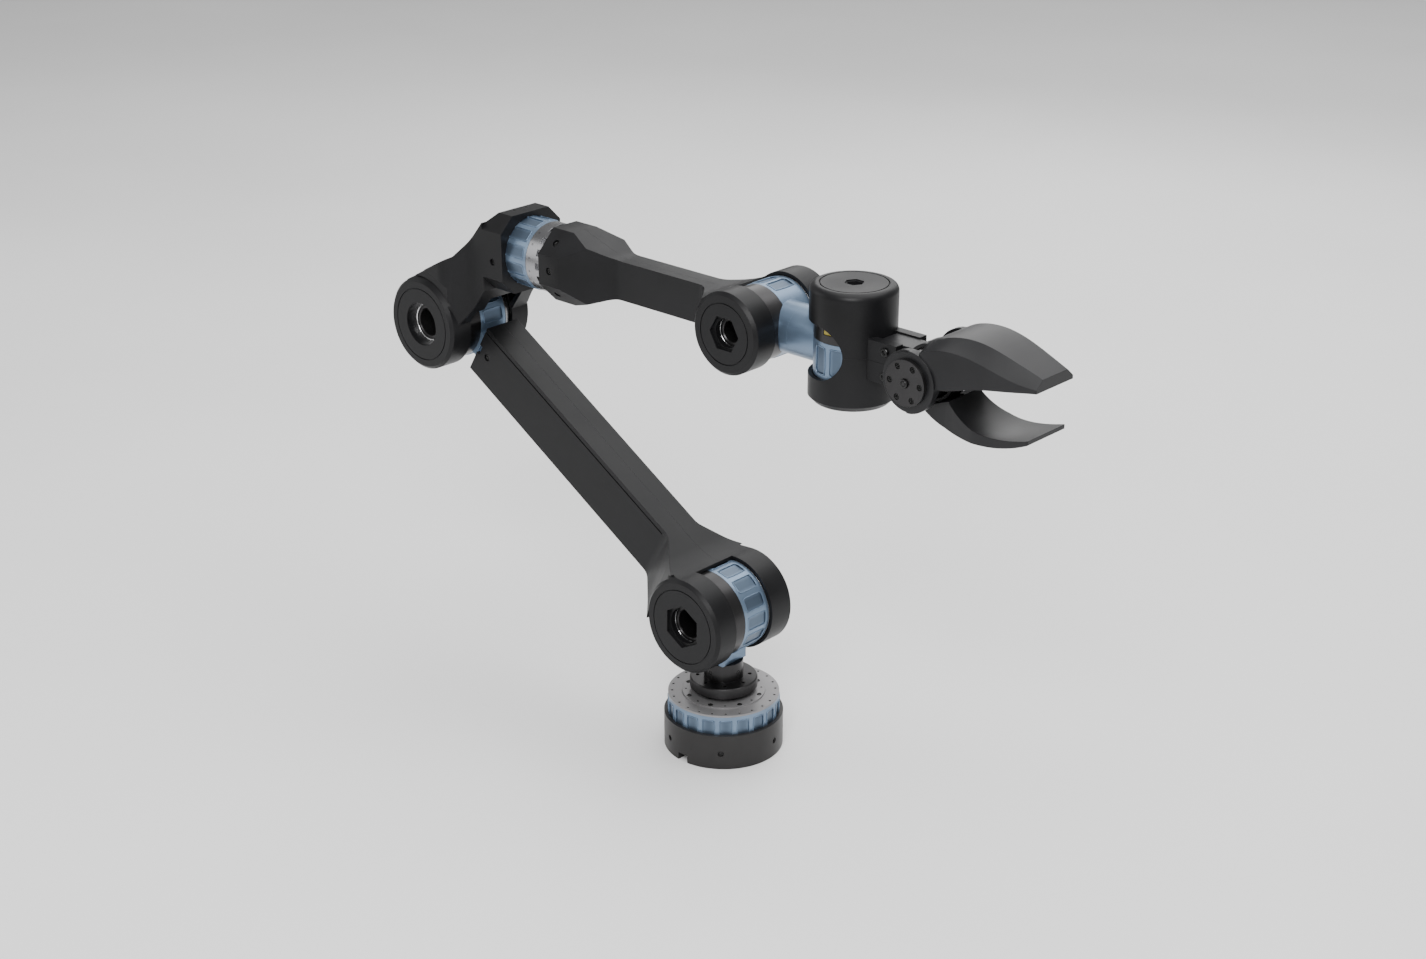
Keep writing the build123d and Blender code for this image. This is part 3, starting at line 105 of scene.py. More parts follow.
back = Vector((math.sin(AZIMUTH) * math.cos(ELEVATION), -math.cos(AZIMUTH) * math.cos(ELEVATION),
               math.sin(ELEVATION)))
target = Vector((-0.027, 0.017, 0.206))
camera = show("camera", bpy.data.cameras.new("camera"))
camera.data.lens, camera.data.sensor_width = LENS, SENSOR
camera.data.clip_start, camera.data.clip_end = 0.01, 60
aim(camera, target + back * DISTANCE, -back)
bpy.context.scene.camera = camera
print("camera is", round((camera.location - target).length, 2), "m from its target")

# %% [markdown]
# ## Studio light
# Black plastic shows hardly any colour of its own: what the eye reads is the light that it mirrors.
# A small lamp would give hard white spots, so every lamp is a wide square. The key stands beside the
# camera, a weak fill and a rim come from the other sides, and a big panel overhead draws the soft
# gradients on the tops. A pale world fills the rest, so that no side is quite black.

# %% Lights
# Name, place, the point it faces, side in metres, power in watts
LIGHTS = (("key_light", (0.9, -1.3, 1.5), (-0.05, 0, 0.2), 0.9, 38),
          ("fill_light", (-1.7, -1.0, 0.9), (-0.05, 0, 0.2), 1.2, 8),
          ("rim_light", (-0.7, 1.5, 1.2), (-0.05, 0, 0.25), 1.3, 12),
          ("top_light", (0.3, 0.7, 3.2), (0, 0.4, 0), 3.6, 150))
WORLD_STRENGTH = 0.36

for name, place, faced, size, power in LIGHTS:
    lamp = show(name, bpy.data.lights.new(name, "AREA"))
    lamp.data.shape = "SQUARE"
    lamp.data.size, lamp.data.energy = size, power
    aim(lamp, place, Vector(faced) - Vector(place))
world = bpy.data.worlds[0] if bpy.data.worlds else bpy.data.worlds.new("studio")
bpy.context.scene.world = world
world.use_nodes = True
world.node_tree.nodes["Background"].inputs["Color"].default_value = (1, 1, 1, 1)
world.node_tree.nodes["Background"].inputs["Strength"].default_value = WORLD_STRENGTH
print("lights:", [light[0] for light in LIGHTS])

# %% [markdown]
# ## Moulded and plain finishes
# No surface on the arm is one flat colour. Moulded plastic has a fine grain, and its gloss changes a
# little from place to place. A picture of such a surface would need unwrapping and would show its
# edges, so each finish is a small tree of noise instead, read at Object coordinates: it stays put
# when a joint moves. A broad noise shifts the colour and the roughness, and a fine one gives the
# grain as bump. The Bevel node rounds the shading at edges, so that they catch the light.

# %% Finish helper
EDGE_ROUNDING = 0.00045
BUMP_STRENGTH = 0.5


def node(tree, kind, **settings):
    """Adds one shader node; settings are its attributes, or its inputs by index as in0, in1, ..."""
    made = tree.nodes.new("ShaderNode" + kind)
    for key, value in settings.items():
        if key.startswith("in"):
            made.inputs[int(key[2:])].default_value = value
        else:
            setattr(made, key, value)
    return made


def link(tree, *pairs):
    """Joins each output socket to the input socket it is paired with."""
    for output, entry in pairs:
        tree.links.new(output, entry)


def moulded_finish(name, colour, lighter, roughness, spread, grain, depth, metallic=0.0,
                   mottle=22.0, specular=0.5):
    """Colour runs from colour to lighter with a broad noise of size 1/mottle; roughness is
    roughness plus or minus spread; grain is the scale of the fine bump, depth its height in metres."""
    finish = bpy.data.materials.new(name)
    finish.use_nodes = True
    tree = finish.node_tree
    shader = tree.nodes["Principled BSDF"]
    shader.inputs["Metallic"].default_value = metallic
    shader.inputs["Specular IOR Level"].default_value = specular
    where = node(tree, "TexCoord", name="where")
    broad = node(tree, "TexNoise", name="broad", in2=mottle, in3=3.0)
    fine = node(tree, "TexNoise", name="fine", in2=grain, in3=2.0)
    tint = node(tree, "ValToRGB", name="tint")
    for stop, shade, place in zip(tint.color_ramp.elements, (colour, lighter), (0.35, 0.7)):
        stop.color, stop.position = (*shade, 1), place
    rough = node(tree, "MapRange", in1=0.3, in2=0.7, in3=roughness - spread, in4=roughness + spread)
    bump = node(tree, "Bump", in0=BUMP_STRENGTH, in1=depth)
    rounded = node(tree, "Bevel", samples=3, in0=EDGE_ROUNDING)
    link(tree, (where.outputs["Object"], broad.inputs["Vector"]),
         (where.outputs["Object"], fine.inputs["Vector"]),
         (broad.outputs[0], tint.inputs[0]),
         (broad.outputs[0], rough.inputs[0]),
         (fine.outputs[0], bump.inputs["Height"]),
         (rounded.outputs[0], bump.inputs["Normal"]),
         (tint.outputs[0], shader.inputs["Base Color"]),
         (rough.outputs[0], shader.inputs["Roughness"]),
         (bump.outputs[0], shader.inputs["Normal"]))
    return finish


# %% [markdown]
# ### Turned metal
# Rings, bearings and caps are turned on a lathe, so their fine lines run round the joint's axis. An
# anisotropic shader would need tangents, and straight scratches would cross the circles. Instead the
# fine noise is read at (distance from the axis, distance along the axis). That pair is the same all
# the way round a circle, which is just what a lathe leaves.

# %% Turned finish
LATHE_LINES = 1600.0
TURNED_SPREAD, TURNED_MOTTLE = 0.04, 14.0


def axis_nodes(tree, centre, axis):
    """Nodes for a point p with q = p - centre: the length of q x axis, which is its distance from
    the axis, and q . axis, which is its place along it."""
    moved = node(tree, "VectorMath", operation="SUBTRACT", in1=tuple(centre))
    along = node(tree, "VectorMath", operation="DOT_PRODUCT", in1=tuple(axis))
    across = node(tree, "VectorMath", operation="CROSS_PRODUCT", in1=tuple(axis))
    radius = node(tree, "VectorMath", operation="LENGTH")
    link(tree, (tree.nodes["where"].outputs["Object"], moved.inputs[0]),
         (moved.outputs[0], along.inputs[0]),
         (moved.outputs[0], across.inputs[0]),
         (across.outputs[0], radius.inputs[0]))
    return radius.outputs["Value"], along.outputs["Value"]


def turned_finish(name, centre, axis, colour, lighter, roughness, depth=0.000008, metallic=1.0):
    """Lathe lines: the fine noise is read at (radius, height) about the axis through centre."""
    finish = moulded_finish(name, colour, lighter, roughness, TURNED_SPREAD, 1.0, depth, metallic,
                            TURNED_MOTTLE)
    tree = finish.node_tree
    radius, height = axis_nodes(tree, centre, axis)
    pair = node(tree, "CombineXYZ")
    spread = node(tree, "VectorMath", operation="SCALE")
    spread.inputs["Scale"].default_value = LATHE_LINES
    link(tree, (radius, pair.inputs[0]),
         (height, pair.inputs[1]),
         (pair.outputs[0], spread.inputs[0]),
         (spread.outputs[0], tree.nodes["fine"].inputs["Vector"]))
    return finish


# %% [markdown]
# ### Blue bands with painted shade in the pockets
# The middle of each actuator is a blue anodised band with shallow pockets. Their floors get painted
# shade: the colour is darker there than on the skin. Picking out the floor faces by hand would be
# slow and would break with the next CAD change. The floors are simply nearer to the axis, so the
# painted shade is set by the distance from it.

# %% Band finish
BLUE, PALE_BLUE = (0.145, 0.205, 0.293), (0.195, 0.27, 0.373)
# Painted shade in the pocket floors: the colour's scale at the floor, then the depths in mm under the band where
# it is full and where it ends
POCKET_PAINTED_SHADE, FLOOR_DEPTH, SKIN_DEPTH = 0.5, 0.7, 0.25


def band_finish(name, centre, axis, outer):
    """Painted shade in the pocket floors: the colour is scaled by 0.5 at 0.7 mm under the outer
    radius, rising evenly to 1 at 0.25 mm under it, and by 1 from there outwards."""
    finish = moulded_finish(name, BLUE, PALE_BLUE, 0.36, 0.05, 2200.0, 0.00003, metallic=0.75)
    tree = finish.node_tree
    radius, _ = axis_nodes(tree, centre, axis)
    # painted shade: the pocket floors, nearer the axis than the skin, get a darker colour
    shade = node(tree, "MapRange", in1=(outer - FLOOR_DEPTH) * MM, in2=(outer - SKIN_DEPTH) * MM,
                 in3=POCKET_PAINTED_SHADE, in4=1.0)
    painted_shade_colour = node(tree, "VectorMath", operation="SCALE")
    link(tree, (radius, shade.inputs[0]),
         (tree.nodes["tint"].outputs[0], painted_shade_colour.inputs[0]),
         (shade.outputs[0], painted_shade_colour.inputs["Scale"]),
         (painted_shade_colour.outputs[0], tree.nodes["Principled BSDF"].inputs["Base Color"]))
    return finish


# %% [markdown]
# ## The arm's finishes
# One finish for each kind of surface. The shells are the blackest and least shiny, the jaws a shade
# lighter, the base cup a warm dark grey with a little metal in it. Screws, the coupling plate, the
# motor's pale plate and the yellow plug follow. Real black plastic is never 0: these are near 0.01,
# so that light still models its shape.

# %% Moulded finishes
# Colour, lighter colour, roughness, its spread, scale of the grain, depth of the grain in metres
shell_black = moulded_finish("shell_black_finish", (0.005, 0.005, 0.0055), (0.009, 0.009, 0.01),
                             0.42, 0.06, 2600.0, 0.00004, specular=0.2)
jaw_black = moulded_finish("jaw_black_finish", (0.008, 0.008, 0.009), (0.013, 0.013, 0.014),
                           0.38, 0.05, 2600.0, 0.00003, specular=0.26)
cup_grey = moulded_finish("cup_grey_finish", (0.018, 0.017, 0.017), (0.028, 0.027, 0.027),
                          0.42, 0.06, 1800.0, 0.00003, metallic=0.3, specular=0.35)
gunmetal = moulded_finish("gunmetal_finish", (0.035, 0.034, 0.035), (0.06, 0.058, 0.06),
                          0.34, 0.07, 1800.0, 0.00003, metallic=0.8)
blue_anodised = moulded_finish("blue_anodised_finish", BLUE, PALE_BLUE,
                               0.34, 0.05, 2200.0, 0.00003, metallic=0.75)
screw_black = moulded_finish("screw_black_finish", (0.02, 0.02, 0.02), (0.04, 0.04, 0.04),
                             0.28, 0.05, 3000.0, 0.00002, metallic=0.9)
pale_plate = moulded_finish("pale_plate_finish", (0.62, 0.63, 0.65), (0.78, 0.79, 0.8),
                            0.36, 0.08, 2400.0, 0.00003, metallic=0.6)
plug_yellow = moulded_finish("plug_yellow_finish", (0.3, 0.24, 0.03), (0.42, 0.34, 0.06),
                             0.4, 0.05, 2000.0, 0.00002)
print("moulded finishes:", len(bpy.data.materials))

# %% [markdown]
# ### One turned finish for each axis
# Lathe lines need to know their axis, so steel rings, bright bearings and dark housings have one
# finish for each joint. They could be told the axis by an object's own frame, but every piece here
# lies at the origin, unturned. So a table of centres and axes makes them, and one more for the cap.

# %% Turned and banded finishes
AXIS_OF = {"base": (base, up), "shoulder": (shoulder, far), "elbow": (elbow, far),
           "roll": (roll, forward), "pitch": (pitch, far), "yaw": (yaw, up), "jaw": (hinge, far)}
BAND_RADIUS = {"base": 42.67, "shoulder": 34, "elbow": 34, "roll": 27, "pitch": 27, "yaw": 27}
STEEL, BRIGHT, MIRROR = (0.27, 0.27, 0.28), (0.34, 0.34, 0.35), (0.8, 0.8, 0.81)
DARK, LESS_DARK = (0.03, 0.029, 0.03), (0.05, 0.049, 0.05)

band_blue = {name: band_finish(f"band_blue_{name}", *AXIS_OF[name], outer)
             for name, outer in BAND_RADIUS.items()}
ring_steel = {name: turned_finish(f"ring_steel_{name}", *AXIS_OF[name], STEEL, BRIGHT, 0.27)
              for name in ("shoulder", "elbow", "roll", "pitch", "yaw", "jaw")}
bearing_steel = {name: turned_finish(f"bearing_steel_{name}", *AXIS_OF[name], BRIGHT, MIRROR, 0.2)
                 for name in ("shoulder", "elbow", "pitch", "yaw", "jaw")}
turned_dark = {name: turned_finish(f"turned_dark_{name}", *AXIS_OF[name], DARK, LESS_DARK, 0.32,
                                   metallic=0.85)
               for name in AXIS_OF}
cap_grey = turned_finish("cap_grey_finish", base, up, (0.21, 0.206, 0.21), (0.28, 0.275, 0.28), 0.42,
                         metallic=0.5)
print("finishes:", len(bpy.data.materials))

# %% [markdown]
# ## Surfaces from two parameters
# New pieces are grids of points: one parameter runs along the rows, the other along the columns.
# Pushing vertices about one by one would be slow and hard to repeat. The arrays are worked out
# whole, and the faces between rows i, i + 1 and columns j, j + 1 follow from the grid's numbering.

# %% Grid helpers
WELD = 1e-7
PIECE_CREASE = 30.0


def wear(obj, finish):
    """Gives an object one finish, in place of what it had."""
    obj.data.materials.clear()
    obj.data.materials.append(finish)


def grid_faces(rows, columns, close_rows=False):
    """Quads of a grid of rows x columns points whose columns close on themselves: point (i, j) has
    the number i * columns + j."""
    last = rows if close_rows else rows - 1
    i, j = np.meshgrid(np.arange(last), np.arange(columns), indexing="ij")
    below, beside = (i + 1) % rows, (j + 1) % columns
    corners = [i * columns + j, i * columns + beside, below * columns + beside, below * columns + j]
    return np.stack(corners, axis=-1).reshape(-1, 4)


def mesh_of(name, points, faces):
    """Mesh from points (n, 3) and faces (m, 4) in metres."""
    mesh = bpy.data.meshes.new(name)
    mesh.from_pydata(points.tolist(), [], faces.tolist())
    return mesh


@contextlib.contextmanager
def editing(mesh):
    """Opens a mesh for bmesh operators, then writes it back."""
    work = bmesh.new()
    work.from_mesh(mesh)
    yield work
    work.to_mesh(mesh)
    work.free()


def smooth_between_creases(work, crease):
    """All faces smooth; an edge is sharp where its two faces meet at crease degrees or more."""
    for edge in work.edges:
        edge.smooth = len(edge.link_faces) != 2 or edge.calc_face_angle(0.0) < math.radians(crease)
    for face in work.faces:
        face.smooth = True


def add_piece(name, points, faces, body, finish, slot):
    """Object of a new closed mesh: welded, facing outwards, riding on a body."""
    mesh = mesh_of(name, points, faces)
    with editing(mesh) as work:
        bmesh.ops.remove_doubles(work, verts=work.verts, dist=WELD)
        bmesh.ops.recalc_face_normals(work, faces=work.faces)
        smooth_between_creases(work, PIECE_CREASE)
    piece = show(name, mesh)
    wear(piece, finish)
    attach(piece, body)
    return piece


print("a grid of 3 x 8 points has", len(grid_faces(3, 8)), "faces, closed both ways",
      len(grid_faces(3, 8, close_rows=True)))

# %% [markdown]
# ### Round solids, and many copies of a small one
# A round solid is a profile carried round an axis: point(i, j) = origin + height_i * axis +
# radius_i * (cos t_j * side + sin t_j * other). Bores and screws are small grids with their own z
# axis, repeated at many places. Linked copies would each be a piece, so they are added up into one
# mesh instead: every copy is place + grid . frame, where the frame's rows are side, other and axis.

# %% Lathe and copies
ASKEW = np.array([0.3, 0.5, 0.81])  # a direction along which nothing on the arm lies


def unit(vector):
    """The vector divided by its length."""
    return np.asarray(vector, float) / np.linalg.norm(vector)


def turned_solid(profile, origin, axis, turns):
    """Closed solid: a loop of (height, radius) in mm, off the axis, carried round the axis as
    origin + height * axis + radius * (cos t * side + sin t * other)."""
    axis = unit(axis)
    side = unit(np.cross(axis, ASKEW))
    height, radius = np.array(profile, float).T * MM
    angle = np.linspace(0, 2 * np.pi, turns, endpoint=False)
    ring = np.cos(angle)[:, None] * side + np.sin(angle)[:, None] * np.cross(axis, side)
    points = origin + height[:, None, None] * axis + radius[:, None, None] * ring[None]
    return points.reshape(-1, 3), grid_faces(len(profile), turns, close_rows=True)


def spread_out(grid, places, axes):
    """Copies of a small grid (rows, columns, 3) in mm: its z runs along each axis from each place."""
    places = np.atleast_2d(places)
    axes = np.broadcast_to(axes, places.shape)
    axes = axes / np.linalg.norm(axes, axis=1, keepdims=True)
    side = np.cross(axes, ASKEW)
    side = side / np.linalg.norm(side, axis=1, keepdims=True)
    frames = np.stack([side, np.cross(axes, side), axes], axis=1)
    points = places[:, None, None, :] + np.einsum("rck,nkd->nrcd", grid * MM, frames)
    rows, columns = grid.shape[:2]
    shift = np.arange(len(places)) * rows * columns
    faces = grid_faces(rows, columns)[None] + shift[:, None, None]
    return points.reshape(-1, 3), faces.reshape(-1, 4)


def fan(axis, side, start, step, count):
    """Directions square to axis, at start, start + step, ... degrees from side: cos t * side +
    sin t * (axis x side)."""
    angle = np.radians(start + step * np.arange(count))[:, None]
    return np.cos(angle) * side + np.sin(angle) * np.cross(axis, side)


def outwards(origin, directions, radius):
    """Places at origin + radius mm * direction, and the directions as unit vectors."""
    directions = np.array(directions, float)
    directions = directions / np.linalg.norm(directions, axis=1, keepdims=True)
    return origin + radius * MM * directions, directions


print("a fan of three:", fan(up, forward, -45, 45, 3).round(3).tolist())

# %% [markdown]
# ## What is cut out of the shells
# The shells' side screws sit in bores, and each disc has a chamfered rim that the CAD lets the
# neck's corner cross. Dark screws on a dark flat face would hardly show, and a painted ring isn't a
# bore. So rods and rings are made as tools, all for one shell in one mesh, to be taken out of the
# shell's copy by one exact Boolean.

# %% Cutting tools
RIM_CHAMFER, RIM_CLEARANCE, RIM_REACH = 2.4, 0.03, 10.0


def rods(places, axes, radius, depth, above=1.0, turns=32):
    """Closed rods along the axes, from above mm over the places to depth mm under them: points
    (r * cos t, r * sin t, z) for four rings, of which the first and last have r = 0."""
    angle = np.linspace(0, 2 * np.pi, turns, endpoint=False)
    rows = [(0.0, -depth), (radius, -depth), (radius, above), (0.0, above)]
    grid = np.stack([np.stack([r * np.cos(angle), r * np.sin(angle), np.full(turns, z)], axis=-1)
                     for r, z in rows])
    return spread_out(grid, places, axes)


def rim_cutter(origin, axis, radius, face, turns=192):
    """Ring round a shell's disc: a rectangle of (height, radius), from the foot of the chamfered
    rim to 1 mm past the face and from the disc's radius outwards, turned about the axis."""
    foot, inner = face - RIM_CHAMFER, radius + RIM_CLEARANCE
    outer = inner + RIM_REACH
    return turned_solid([(foot, inner), (foot, outer), (face + 1, outer), (face + 1, inner)],
                        origin, axis, turns)


def tool_mesh(solids):
    """One mesh of several closed solids that lie apart, each given as points and faces."""
    clouds, quads = zip(*solids)
    starts = np.cumsum([0] + [len(cloud) for cloud in clouds[:-1]])
    mesh = mesh_of("tool", np.concatenate(clouds),
                   np.concatenate([faces + start for faces, start in zip(quads, starts)]))
    with editing(mesh) as work:
        bmesh.ops.remove_doubles(work, verts=work.verts, dist=WELD)
        bmesh.ops.dissolve_degenerate(work, edges=work.edges, dist=WELD / 10)
        bmesh.ops.recalc_face_normals(work, faces=work.faces)
    return mesh


# %% [markdown]
# ### Where the cuts are
# The bores' centres follow from the joints: the elbow's clamp and the forearm's block stand at fixed
# steps from their axes, and the upper arm's clamp near its elbow end. Each line of the tables says
# where a shell is cut and how wide, so that a new screw is a new line and not new code.

# %% Cuts of each shell
clamp, block = elbow + MM * np.array([71, 0, 68]), pitch + MM * np.array([-193.5, 0, 0])
arm_end = shoulder + 282.25 * MM * along_arm
cover_screws, cup_screws = clamp - 5 * MM * up, base + 13 * MM * up
near_facets, far_facets = fan(forward, near, -45, 45, 3), fan(forward, far, -45, 45, 3)
cup_sides = fan(up, forward, 10, 60, 6)
# Centre, directions, distance out to the shell's face, radius and depth of the bore in mm
BORES = {"elbow_near_cover": (cover_screws, [near], 31, 2.7, 2.6),
         "elbow_far_cover": (cover_screws, [far], 31, 2.7, 2.6),
         "forearm_near_shell": (block, near_facets, 28.5, 2.9, 2.0),
         "forearm_far_shell": (block, far_facets, 28.5, 2.9, 2.0),
         "upper_arm_near_shell": (arm_end, [near], 16, 2.9, 2.0),
         "upper_arm_far_shell": (arm_end, [far], 16, 2.9, 2.0),
         "base_cup": (cup_screws, cup_sides, 46, 2.3, 1.8)}
# Axis of the disc, the way it faces, its radius and how far from the axis point its face is in mm
DISCS = {"elbow_near_cover": (elbow, near, 37, 46), "elbow_far_cover": (elbow, far, 37, 37),
         "forearm_near_shell": (pitch, near, 30, 44.5), "forearm_far_shell": (pitch, far, 30, 42),
         "upper_arm_near_shell": (shoulder, near, 37, 46),
         "upper_arm_far_shell": (shoulder, far, 37, 37)}


def cuts_of(name):
    """The solids to take out of a shell: its bores, and the step round its disc if it has one."""
    centre, directions, out, radius, depth = BORES[name]
    solids = [rods(*outwards(centre, directions, out), radius, depth)]
    if name in DISCS:
        solids.append(rim_cutter(*DISCS[name]))
    return solids


print("bores:", sum(len(directions) for centre, directions, *sizes in BORES.values()))

# %% [markdown]
# ## Rounded copies of the moulded pieces
# The long black shells, the covers, the housings and the jaws are mouldings with softly rounded
# edges, which the CAD leaves sharp. Smoothing the CAD's loose triangles would smear their shading.
# So a copy of each is merged, carved, and its flat faces are joined. A Bevel modifier then rounds
# its edges and a highlight runs along them. The copy stands in for the CAD piece and rides with it.

# %% Rounded copies
MERGE, FLAT_ANGLE, MOULD_CREASE = 2e-6, 0.6, 28.0


def carved(mesh, solids):
    """Copy of a closed mesh with the solids, as one tool, taken out of it."""
    piece, tool = show("carved", mesh), show("tool", tool_mesh(solids))
    cut = piece.modifiers.new("cuts", "BOOLEAN")
    cut.operation, cut.solver, cut.object = "DIFFERENCE", "EXACT", tool
    shape = piece.evaluated_get(bpy.context.evaluated_depsgraph_get())
    result = bpy.data.meshes.new_from_object(shape)
    for obj in (piece, tool):
        bpy.data.objects.remove(obj)
    return result


def rounded_piece(name, finish, width):
    """Copy of a CAD node: doubles merged, cuts made, flats joined, edges of 28 degrees and more
    bevelled by width metres."""
    mesh = nodes[name].data.copy()
    with editing(mesh) as work:
        bmesh.ops.remove_doubles(work, verts=work.verts, dist=MERGE)
    if name in BORES:
        mesh = carved(mesh, cuts_of(name))
    with editing(mesh) as work:
        bmesh.ops.dissolve_limit(work, angle_limit=math.radians(FLAT_ANGLE), verts=work.verts,
                                 edges=work.edges)
        bmesh.ops.recalc_face_normals(work, faces=work.faces)
        smooth_between_creases(work, MOULD_CREASE)
    piece = show(f"{name}_rounded", mesh)
    wear(piece, finish)
    bevel = piece.modifiers.new("rounded_edges", "BEVEL")
    bevel.width, bevel.segments = width, 2
    bevel.limit_method, bevel.angle_limit = "ANGLE", math.radians(MOULD_CREASE)
    bevel.harden_normals = True
    bevel.use_clamp_overlap = True
    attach(piece, body_of_node[name])
    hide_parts(name)
    return piece


# %% [markdown]
# ### Which pieces are moulded
# The wider the rounded edge, the softer a piece looks. The long shells have the roundest edges, the
# housings and the cup are crisper, and the jaws lie between. One width for all would be less to
# write, but it would make the small housings look melted.

# %% Moulded pieces
# Finish, and the width of the rounded edge in metres
MOULDED = {"base_cup": (cup_grey, 0.0006),
           "upper_arm_near_shell": (shell_black, 0.0009), "upper_arm_far_shell": (shell_black, 0.0009),
           "elbow_near_cover": (shell_black, 0.0009), "elbow_far_cover": (shell_black, 0.0009),
           "forearm_near_shell": (shell_black, 0.0009), "forearm_far_shell": (shell_black, 0.0009),
           "wrist_upper_housing": (shell_black, 0.0006), "wrist_lower_housing": (shell_black, 0.0006),
           "lower_jaw": (jaw_black, 0.0007), "upper_jaw": (jaw_black, 0.0007)}
for name, (finish, width) in MOULDED.items():
    piece = rounded_piece(name, finish, width)
    print(name, "faces:", len(piece.data.polygons))

# %% [markdown]
# ## Screws
# A socket-head screw is a round head with a hexagonal well. Cutting the well by a Boolean in every
# head would be slow and untidy. Instead the head is a lathe profile whose inner rings are pushed out
# to a hexagon: at angle t the radius is r / cos(t wrapped to 30 degrees either side of a flat). One
# small grid is repeated by adding each screw's place, so a ring of 24 screws is one mesh.

# %% Screw helpers
KEY_SIZE, HEAD_CHAMFER, KEY_DEPTH = 0.5, 0.16, 0.6  # shares of the head's radius, and of its height


def screw_grid(head, height, turns=24):
    """Rings of a head of radius head, in mm, its top at z = 0: up the well, over and down. A point
    is (r * f * cos t, r * f * sin t, z), with f = 1 on a circle and 1 / cos(wrapped t) on a hexagon."""
    angle = np.linspace(0, 2 * np.pi, turns, endpoint=False)
    flat = 1 / np.cos((angle + np.pi / 6) % (np.pi / 3) - np.pi / 6)
    key, chamfer, well = KEY_SIZE * head, HEAD_CHAMFER * head, -KEY_DEPTH * height
    rings = [(0.0, well, 1), (key, well, flat), (key, 0, flat), (head - chamfer, 0, 1),
             (head, -chamfer, 1), (head, -height, 1), (0.0, -height, 1)]
    return np.stack([np.stack([radius * shape * np.cos(angle), radius * shape * np.sin(angle),
                               np.full(turns, float(z))], axis=-1) for radius, z, shape in rings])


def screws(name, places, axes, head, height, body):
    """One mesh of equal screws: head tops at places (n, 3) in metres, facing along axes."""
    points, faces = spread_out(screw_grid(head, height), places, axes)
    return add_piece(name, points, faces, body, screw_black, "dark_metal")


def screw_circle(name, origin, axis, radius, count, head, height, body, start=0.0):
    """Screws that face along axis, on a circle round origin whose first is start degrees on."""
    places, _ = outwards(origin, fan(axis, forward, start, 360 / count, count), radius)
    return screws(name, places, axis, head, height, body)


def side_screws(name, origin, directions, radius, head, height, body):
    """Screws that face outwards: head tops at origin + radius * direction."""
    return screws(name, *outwards(origin, directions, radius), head, height, body)


print("one screw head has", len(grid_faces(*screw_grid(1, 1).shape[:2])), "faces")

# %% [markdown]
# ## Where the screws go
# The base's cap has a fine ring of screws near its rim and a coarser one further in, the socket is
# bolted down on a circle, and the clamps and blocks have screws in their sides. Placing them by hand
# would drift, so each line gives a set: its centre, its circle or its directions, the radius and
# height of its heads in mm, and the body that carries it.

# %% Screws of the base and the shoulder
screw_circle("base_cap_screws", base + 43.9 * MM * up, up, radius=39.77, count=24,
             head=0.9, height=1.2, body="base")
screw_circle("base_ring_screws", base + 45.5 * MM * up, up, radius=29, count=8,
             head=1.9, height=0.6, body="base", start=22.5)
screw_circle("base_ring_pins", base + 45.3 * MM * up, up, radius=29, count=8,
             head=0.8, height=0.4, body="base")
side_screws("base_side_screws", cup_screws, cup_sides, radius=45.3,
            head=1.9, height=1.0, body="base")
side_screws("base_side_pins", cup_screws, fan(up, forward, 40, 60, 6), radius=46.05,
            head=0.9, height=1.0, body="base")
screw_circle("socket_screws", base + 56.6 * MM * up, up, radius=20, count=8,
             head=1.45, height=1.6, body="shoulder")
side_screws("socket_set_screws", base + 64 * MM * up, fan(up, forward, 0, 90, 4), radius=15.1,
            head=1.9, height=1.0, body="shoulder")

# %% [markdown]
# ### Screws along the arm
# Both halves of the upper arm and of the forearm are held together by a row of screws through their
# bosses, seen from the far side, and by clamp screws at the ends. The rows are steps along the
# line between two joints, so they would follow if a link became longer.

# %% Screws of the arm
side_screws("arm_clamp_screws", arm_end, [near, far], radius=15.1,
            head=2.5, height=1.0, body="upper_arm")
arm_bosses = shoulder + MM * (53 + 47.5 * np.arange(5))[:, None] * along_arm + 16.2 * MM * far
screws("arm_boss_screws", arm_bosses, far, head=2.2, height=1.0, body="upper_arm")
forearm_bosses = pitch - MM * (46.7 + 43 * np.arange(3))[:, None] * forward + 12.2 * MM * far
screws("forearm_boss_screws", forearm_bosses, far, head=2.2, height=1.0, body="forearm")
side_screws("elbow_clamp_screws", cover_screws, [near, far], radius=29.6,
            head=2.3, height=1.0, body="elbow")
for half, sign in (("near", -1), ("far", 1)):
    places = clamp + MM * np.array([[0, 6 * sign, 31.1], [0, 6 * sign, -31.1]])
    screws(f"elbow_{half}_cover_screws", places, [up, -up], head=1.3, height=1.0, body="elbow")
side_screws("forearm_block_screws", block, np.concatenate([near_facets, far_facets]), radius=27.6,
            head=2.5, height=1.0, body="forearm")
side_screws("roll_ring_screws", roll + 18 * MM * forward, fan(forward, up, 11.25, 22.5, 16),
            radius=27.05, head=0.9, height=1.0, body="forearm")
print("arm bosses:", len(arm_bosses), "forearm bosses:", len(forearm_bosses))

# %% [markdown]
# ### Screws of the hand, and the brow of the elbow
# Two bolts with nuts clamp the gripper's palm to the wrist housing, six screws hold the jaw's flange
# and one its axle. The last piece here closes a crescent that the elbow covers leave open over the
# rear rim of the roll housing: a thin lip, turned about the roll axis. It could be drawn into the
# covers, but a loop carried round an axis is simpler and follows the housing exactly.

